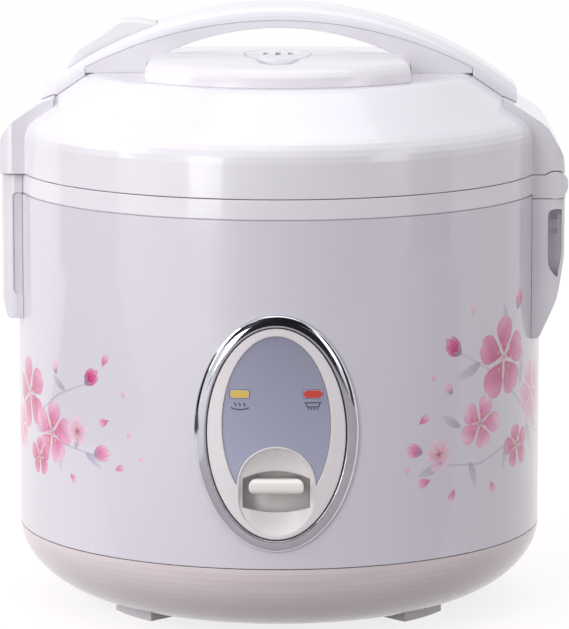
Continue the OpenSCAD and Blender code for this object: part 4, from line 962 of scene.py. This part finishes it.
    def spray(self, spray: Spray) -> None:
        """Paints a whole spray, from its stems up to its loose petals.

        Args:
            spray: The spray.
        """
        for width, points in spray.stems:
            self.stroke(points, width, LEAF.base, 0.45)
        for leaf in spray.leaves:
            self.leaf(*leaf)
        for blossom in spray.blossoms:
            self.blossom(*blossom)
        for bud in spray.buds:
            self.bud(*bud)
        for x, z, angle, size in spray.petals:
            self.petal(x, z, angle, size, size * 0.6, ROSE if size >= spray.rosy else BLUSH)


# ---- body


@dataclass
class Body(Assembly):
    """Base bowl, feet, printed sleeve and upper ring, with the inlet at the back."""

    looks: Looks = (
        (BASE, ("base_shell",)), (WHITE, ("upper_ring", "hinge_ear", "latch_ear")),
        (PAINT, ("body_sleeve",)), (FOOT, ("feet",)), (CUP, ("drip_cup",)), (DARK, ("power_inlet",)),
        (BRASS, ("inlet_pins",)))
    thick: float = 0.8
    sleeve_low: float = 41.0
    sleeve_high: float = 209.5
    print_low: float = 62.0
    print_high: float = 172.0
    print_left: Spot = (-196.0, -58.0)
    print_right: Spot = (56.0, 204.0)
    fine: float = 0.55
    coarse_across: float = 3.2
    coarse_up: float = 4.0
    hole_half_wide: float = 35.6
    hole_half_high: float = 53.6
    hole_middle: float = 107.0
    inlet_half_wide: float = 18.4
    inlet_half_high: float = 12.2
    inlet_middle: float = 58.5

    def stations(self, low: float, high: float, areas: Sequence[Spot], coarse: float) -> np.ndarray:
        """Spaces grid lines closely inside the printed areas and widely elsewhere.

        Args:
            low: First line.
            high: Last line.
            areas: Ranges that need close lines.
            coarse: Spacing outside them.

        Returns:
            The places of the lines.
        """
        lines = [low]
        while lines[-1] < high:
            inside = any(a - 0.01 <= lines[-1] < b for a, b in areas)
            lines.append(lines[-1] + (self.fine if inside else coarse))
        lines = np.array(lines)
        return low + (lines - low) * (high - low) / (lines[-1] - low)

    def cut_out(self, x: float, y: float, z: float) -> bool:
        """Tells whether a point of the sheet lies in the panel's oval or in the inlet's window.

        Args:
            x: Its place across.
            y: Its depth, below 0 in front.
            z: Its height.

        Returns:
            True where the sheet is cut away.
        """
        if y < 0:
            return math.hypot(x / self.hole_half_wide, (z - self.hole_middle) / self.hole_half_high) < 1
        return abs(x) < self.inlet_half_wide and abs(z - self.inlet_middle) < self.inlet_half_high

    def sleeve(self) -> Piece:
        """Builds the printed sleeve as a rolled sheet with turned edges.

        Returns:
            The sleeve.
        """
        half = math.pi * SLEEVE_RADIUS
        across = self.stations(-half, half, (self.print_left, self.print_right), self.coarse_across)[:-1]
        up = self.stations(self.sleeve_low, self.sleeve_high, [(self.print_low, self.print_high)],
                           self.coarse_up)
        art = SprayPainter(*np.meshgrid(across, up), PAINT.colour)
        art.spray(RIGHT_SPRAY)
        art.spray(LEFT_SPRAY)
        inks = np.concatenate([art.canvas[:1], art.canvas, art.canvas[-1:]])
        turn = across / SLEEVE_RADIUS
        inner = SLEEVE_RADIUS - self.thick
        rows = [(inner, up[0]), *((SLEEVE_RADIUS, z) for z in up), (inner, up[-1])]
        points = np.concatenate([np.stack([r * np.sin(turn), -r * np.cos(turn), np.full(len(turn), z)], 1)
                                 for r, z in rows])
        faces = [face for face in round_faces(len(rows), len(across))
                 if not self.cut_out(*points[list(face)].mean(0))]
        made = mesh_piece("sleeve_printed", points, faces, PAINT, smooth=50.0)
        layer = made.data.color_attributes.new(PAINT.layer, "FLOAT_COLOR", "POINT")
        colours = linear_light(inks.reshape(-1, 3))
        layer.data.foreach_set("color", np.c_[colours, np.ones(len(colours))].ravel())
        return made

    def pieces(self) -> None:
        """Builds the sleeve over its plain node."""
        place(self.sleeve(), Ride.BASE, "sleeve_paint", "body_sleeve")


# ---- front panel


@dataclass
class FrontPanel(Assembly):
    """Plated trim, bezel with its scoop, tinted leaf, lamp lenses and function marks."""

    looks: Looks = (
        (CHROME, ("trim_ring",)), (CREAM, ("panel_bezel",)), (LIT_KNOB, ("switch_knob",)),
        (TINT, ("panel_plate",)), (AMBER, ("warm_lens",)), (RED, ("cook_lens",)),
        (BOARD, ("indicator_board",)), (LAMP, ("indicator_lamps",)))
    middle: float = 107.0
    half_wide: float = 39.5
    half_high: float = 57.5
    band: float = 5.9
    foot: float = 0.9
    crest: float = 3.0
    crest_share: float = 0.84
    leaf_radius: float = 133.0
    ink: Spot = (0.02, 0.10)
    mark_height: float = 120.4
    mark_at: float = 17.5
    steps: int = 288
    arch_steps: int = 32

    def wrapped(self, x: np.ndarray, z: np.ndarray, radius: float) -> np.ndarray:
        """Lays places across and up onto the front of a round of a radius."""
        return np.stack([x, -np.sqrt(radius ** 2 - x ** 2), z], -1)

    def trim(self) -> Piece:
        """Sweeps the trim's rounded section around its oval, wrapped on the sleeve.

        Returns:
            The trim.
        """
        turn = np.linspace(0, 2 * np.pi, self.steps, endpoint=False)
        rows = [self.wrapped((self.half_wide - inside) * np.cos(turn),
                             self.middle + (self.half_high - inside) * np.sin(turn), SLEEVE_RADIUS + proud)
                for inside, proud in self.dome()]
        faces = round_faces(len(rows), self.steps)
        return mesh_piece("trim_dome", np.concatenate(rows), faces, CHROME, smooth=60.0)

    def dome(self) -> list[Spot]:
        """Gives the trim's rounded section, from its outer foot to its inner foot.

        Returns:
            Distances inside the outer oval, and heights over the sleeve.
        """
        top_at = self.crest_share * self.band
        arch = []
        for k in range(self.arch_steps + 1):
            angle = math.pi * (1 - k / self.arch_steps)
            reach = top_at if 2 * k < self.arch_steps else self.band - top_at
            arch.append((top_at + reach * math.cos(angle),
                         self.foot + (self.crest - self.foot) * math.sin(angle)))
        return [(0.0, 0.1), *arch, (self.band, 0.1)]

    def mark(self, name: str, across: float, width: float, tracks: Sequence[Sequence[Spot]]) -> None:
        """Lays flat ink lines on the tinted leaf.

        Args:
            name: The mark's name.
            across: Place of its middle across.
            width: Width of the lines.
            tracks: The lines, as places from its middle.
        """
        points, faces = [], []
        for track in tracks:
            line = np.array(track, float) + (across, self.mark_height)
            along = np.gradient(line, axis=0)
            along /= np.linalg.norm(along, axis=1)[:, None]
            side = np.stack([-along[:, 1], along[:, 0]], 1) * width / 2
            low, high = (self.leaf_radius + lift for lift in self.ink)
            strips = [self.wrapped(*(line + offset).T, radius)
                      for offset, radius in ((side, low), (-side, low), (-side, high), (side, high))]
            faces += [tuple(len(points) + k for k in face) for face in rod_faces(len(line), len(strips))]
            points += np.stack(strips, 1).reshape(-1, 3).tolist()
        made = mesh_piece(name, np.array(points), faces, MARKS, smooth=30.0)
        place(made, Ride.BASE, "dark_plastic")

    def warm_mark(self) -> None:
        """Draws the keep-warm mark: a dish with three lines of steam."""
        steam = [[(s + 0.35 * math.sin(5.2 * t), 0.2 + 1.7 * t) for t in np.linspace(0, 1, 9)]
                 for s in (-2.2, 0.0, 2.2)]
        dish = [(4.2 * math.cos(a), 1.1 * math.sin(a) - 0.3) for a in np.linspace(math.pi, 2 * math.pi, 13)]
        self.mark("warm_mark", -self.mark_at, 0.55, [*steam, dish])

    def cook_mark(self) -> None:
        """Draws the cooking mark: a lidded pot over its flames."""
        pot = [(-3.0, 1.5), (-3.0, 0.3), (-2.5, -0.1), (2.5, -0.1), (3.0, 0.3), (3.0, 1.5)]
        lid = [(x, 1.9) for x in np.linspace(-4.1, 4.1, 7)]
        flames = [[(s + 0.25 * math.sin(4.0 * t), -0.6 - 0.8 * t) for t in np.linspace(0, 1, 5)]
                  for s in (-2.1, -0.7, 0.7, 2.1)]
        self.mark("cook_mark", self.mark_at, 0.5, [pot, lid, *flames])

    def pieces(self) -> None:
        """Builds the trim and the two marks."""
        place(self.trim(), Ride.BASE, "chrome", "trim_ring")
        self.warm_mark()
        self.cook_mark()


# ---- lid and inside


@dataclass
class Lid(Assembly):
    """Lid shell with its raised deck, arched handle, release button and sealed underside."""

    looks: Looks = (
        (WHITE, ("lid_shell", "handle_cover", "handle_grip", "steam_cap")), (SOFT_WHITE, ("lid_deck",)),
        (PEARL, ("release_button",)), (GREY, ("lid_liner", "vent_duct")), (SHEET, ("inner_lid",)),
        (SEAL, ("lid_gasket", "lid_grommet", "vent_seal")),
        (STEEL, ("handle_screws", "button_spring", "latch_hook", "latch_pin", "latch_spring",
                 "hinge_pin", "hinge_spring")))
    button_round: float = 2.2
    sharp_angle: float = 28.0
    flat_angle: float = 0.6
    weld: float = 0.002

    def button(self) -> Piece:
        """Copies the release button and rounds its sharp edges, as the moulding tool leaves them.

        Returns:
            The rounded button.
        """
        source = self.frame["nodes"]["release_button"]
        shape = bmesh.new()
        shape.from_mesh(source.data)
        bmesh.ops.remove_doubles(shape, verts=shape.verts, dist=self.weld * MM)
        bmesh.ops.dissolve_limit(shape, angle_limit=math.radians(self.flat_angle), verts=shape.verts,
                                 edges=shape.edges)
        limit = math.radians(self.sharp_angle)
        edges = [e for e in shape.edges if e.is_manifold and e.calc_face_angle(0.0) > limit]
        bmesh.ops.bevel(shape, geom=edges, offset=self.button_round * MM, segments=3, profile=0.5,
                        affect="EDGES", clamp_overlap=True)
        bmesh.ops.dissolve_degenerate(shape, dist=self.weld * MM / 2, edges=shape.edges)
        mesh = bpy.data.meshes.new("release_button_soft")
        shape.to_mesh(mesh)
        shape.free()
        mesh.transform(source.matrix_world)
        return finished("release_button_soft", mesh, PEARL, smooth=32.0)

    def pieces(self) -> None:
        """Builds the rounded button and its spring."""
        place(self.button(), Ride.BUTTON, "pearl_plastic", "release_button")
        CoilSpring("button_spring", wire=0.5, turns=6, body=Ride.LID, joint="release_press",
                   travel=2.5).build()


@dataclass
class PotAndHeater(Assembly):
    """Inner pot, can, heating plate, sensor, thermal switch and its lever."""

    looks: Looks = (
        (POT, ("inner_pot",)), (SHEET, ("inner_housing", "sensor_cap")), (PLATE, ("heating_plate",)),
        (TUBE, ("heating_element",)), (MAGNET, ("magnet_carrier",)), (DARK, ("micro_switch",)),
        (CERAMIC, ("thermal_fuse", "terminal_block")), (MICA, ("side_heater",)),
        (STEEL, ("plate_legs", "chassis_screws", "sensor_seat", "sensor_spring", "lever_bracket",
                 "lever_pin", "cook_lever")))

    def pieces(self) -> None:
        """Winds the sensor's spring."""
        CoilSpring("sensor_spring", wire=0.6, turns=3, body=Ride.BASE, joint="sensor_press",
                   travel=1.5).build()


# ---- studio


BLACK = (0.012, 0.012, 0.014)
COOKER = (0.0, 0.0, 0.15)


def sheet(name: str, size: Spot, paper: Material, at: Point = (0.0, 0.0, 0.0),
          aim: Optional[Point] = None) -> Piece:
    """Adds a flat sheet that isn't part of the cooker.

    Args:
        name: The sheet's name.
        size: Its width and height.
        paper: Its material.
        at: Its middle.
        aim: The point that it faces, or None where it lies flat.

    Returns:
        The sheet.
    """
    w, h = size[0] / 2, size[1] / 2
    mesh = bpy.data.meshes.new(name)
    mesh.from_pydata([(-w, -h, 0), (w, -h, 0), (w, h, 0), (-w, h, 0)], [], [(0, 1, 2, 3)])
    mesh.materials.append(paper)
    made = stand(name, mesh, at, aim)
    return made


@dataclass(frozen=True)
class Card:
    """A card that only gloss shows: its middle, width and height, colour, and the point that it faces."""

    name: str
    at: Point
    size: Spot
    colour: Colour = BLACK
    aim: Point = COOKER

    def build(self) -> None:
        """Stands the card beside the view."""
        g = Graph(self.name)
        board = g.finish((*self.colour, 1.0), g.roughness, None)
        made = sheet(self.name, self.size, board, self.at, self.aim)
        for kind in ("camera", "diffuse", "shadow"):
            setattr(made, f"visible_{kind}", False)


@dataclass(frozen=True)
class Lamp:
    """A soft box: its middle, width and height, power in watts, and the point that it faces."""

    name: str
    at: Point
    size: Spot
    power: float
    aim: Point = COOKER

    def build(self) -> None:
        """Hangs the lamp."""
        light = bpy.data.lights.new(self.name, "AREA")
        light.shape = "RECTANGLE"
        light.size, light.size_y = self.size
        light.energy = self.power
        stand(self.name, light, self.at, self.aim, "-Z")


LAMPS = (Lamp("overhead", (0.05, -0.10, 1.9), (1.5, 1.4), 7.0),
         Lamp("window", (-0.745, -1.29, 0.55), (0.38, 1.1), 6.8, (0.0, 0.0, 0.4)),
         Lamp("left_bank", (-1.8, -0.4, 0.9), (0.9, 1.2), 14.3),
         Lamp("right_fill", (1.5, -1.2, 0.7), (0.8, 1.0), 3.6))
CARDS = (Card("ceiling_flag", (0.2, -1.05, 1.0), (1.7, 1.0)),
         Card("front_flag", (0.25, -1.62, 0.36), (2.3, 0.72), BLACK, (0.25, 0.0, 0.36)),
         Card("right_flag", (1.15, -0.5, 0.40), (0.5, 0.8), (0.05, 0.05, 0.06)),
         Card("corner_flag", (-0.76, -0.93, 0.73), (0.85, 0.65)),
         Card("left_flag", (-1.19, -0.05, 0.20), (0.8, 0.6)),
         Card("side_mat", (-0.825, -0.10, 0.016), (0.65, 0.60), BLACK, (-0.825, -0.10, 1.0)),
         Card("left_mat", (-0.75, -0.54, 0.012), (0.90, 0.80), (0.70, 0.68, 0.72), (-0.75, -0.54, 1.0)),
         Card("near_mat", (0.45, -0.54, 0.012), (1.50, 0.80), (0.50, 0.46, 0.48), (0.45, -0.54, 1.0)),
         Card("far_mat", (0.2, -1.28, 0.014), (2.2, 0.70), BLACK, (0.2, -1.28, 1.0)))


@dataclass
class Studio:
    """Plain pale floor, white surround and the camera, with the lamps and cards around the cooker."""

    focal_px: float = 4600.0
    sensor: float = 36.0
    image: tuple[int, int] = (569, 629)
    eye: Point = (0.025, -2.2907, 0.5146)
    pitch: float = 9.20
    yaw: float = 0.56
    floor_size: float = 18.0
    paper: Colour = (0.24, 0.205, 0.205)
    paper_glow: float = 0.80
    surround: float = 0.635
    tint: Colour = (0.985, 0.98, 1.0)

    def camera(self) -> None:
        """Sets the camera at its measured place."""
        lens = bpy.data.cameras.new("camera")
        lens.sensor_width = self.sensor
        lens.lens = self.focal_px * self.sensor / max(self.image)
        made = stand("camera", lens, self.eye)
        made.rotation_euler = (math.radians(90 - self.pitch), 0.0, math.radians(self.yaw))
        bpy.context.scene.camera = made

    def world(self) -> None:
        """Sets a pale surround that shows white behind the cooker."""
        world = bpy.data.worlds.new("surround")
        bpy.context.scene.world = world
        world.use_nodes = True
        tree = Tree(world.node_tree)
        back = world.node_tree.nodes["Background"]
        tree.feed(back.inputs["Color"], (*self.tint, 1.0))
        tree.feed(back.inputs["Strength"], tree.spread(tree.white_rays(), self.surround, 1.0, (0.0, 1.0)))

    def floor(self) -> None:
        """Lays the floor: a dull white sheet that looks white and keeps the shadow."""
        g = Graph("floor_paper")
        glow = g.sums("MULTIPLY", g.white_rays(), self.paper_glow)
        paper = g.finish((*self.paper, 1.0), g.roughness, None, Emission_Color=(1.0, 1.0, 1.0, 1.0),
                         Emission_Strength=glow)
        sheet("floor", (self.floor_size, self.floor_size), paper)

    def build(self) -> None:
        """Builds the studio."""
        self.camera()
        self.world()
        self.floor()
        for thing in (*LAMPS, *CARDS):
            thing.build()
        bpy.context.scene.view_settings.view_transform = "Standard"


# ---- making


def main() -> None:
    """Loads the frame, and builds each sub-assembly in order."""
    logging.basicConfig(level=logging.INFO, format="%(name)s: %(message)s")
    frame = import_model()
    Studio().build()
    for kind in (Body, FrontPanel, Lid, PotAndHeater):
        kind(frame).build()


if __name__ == "__main__":
    main()
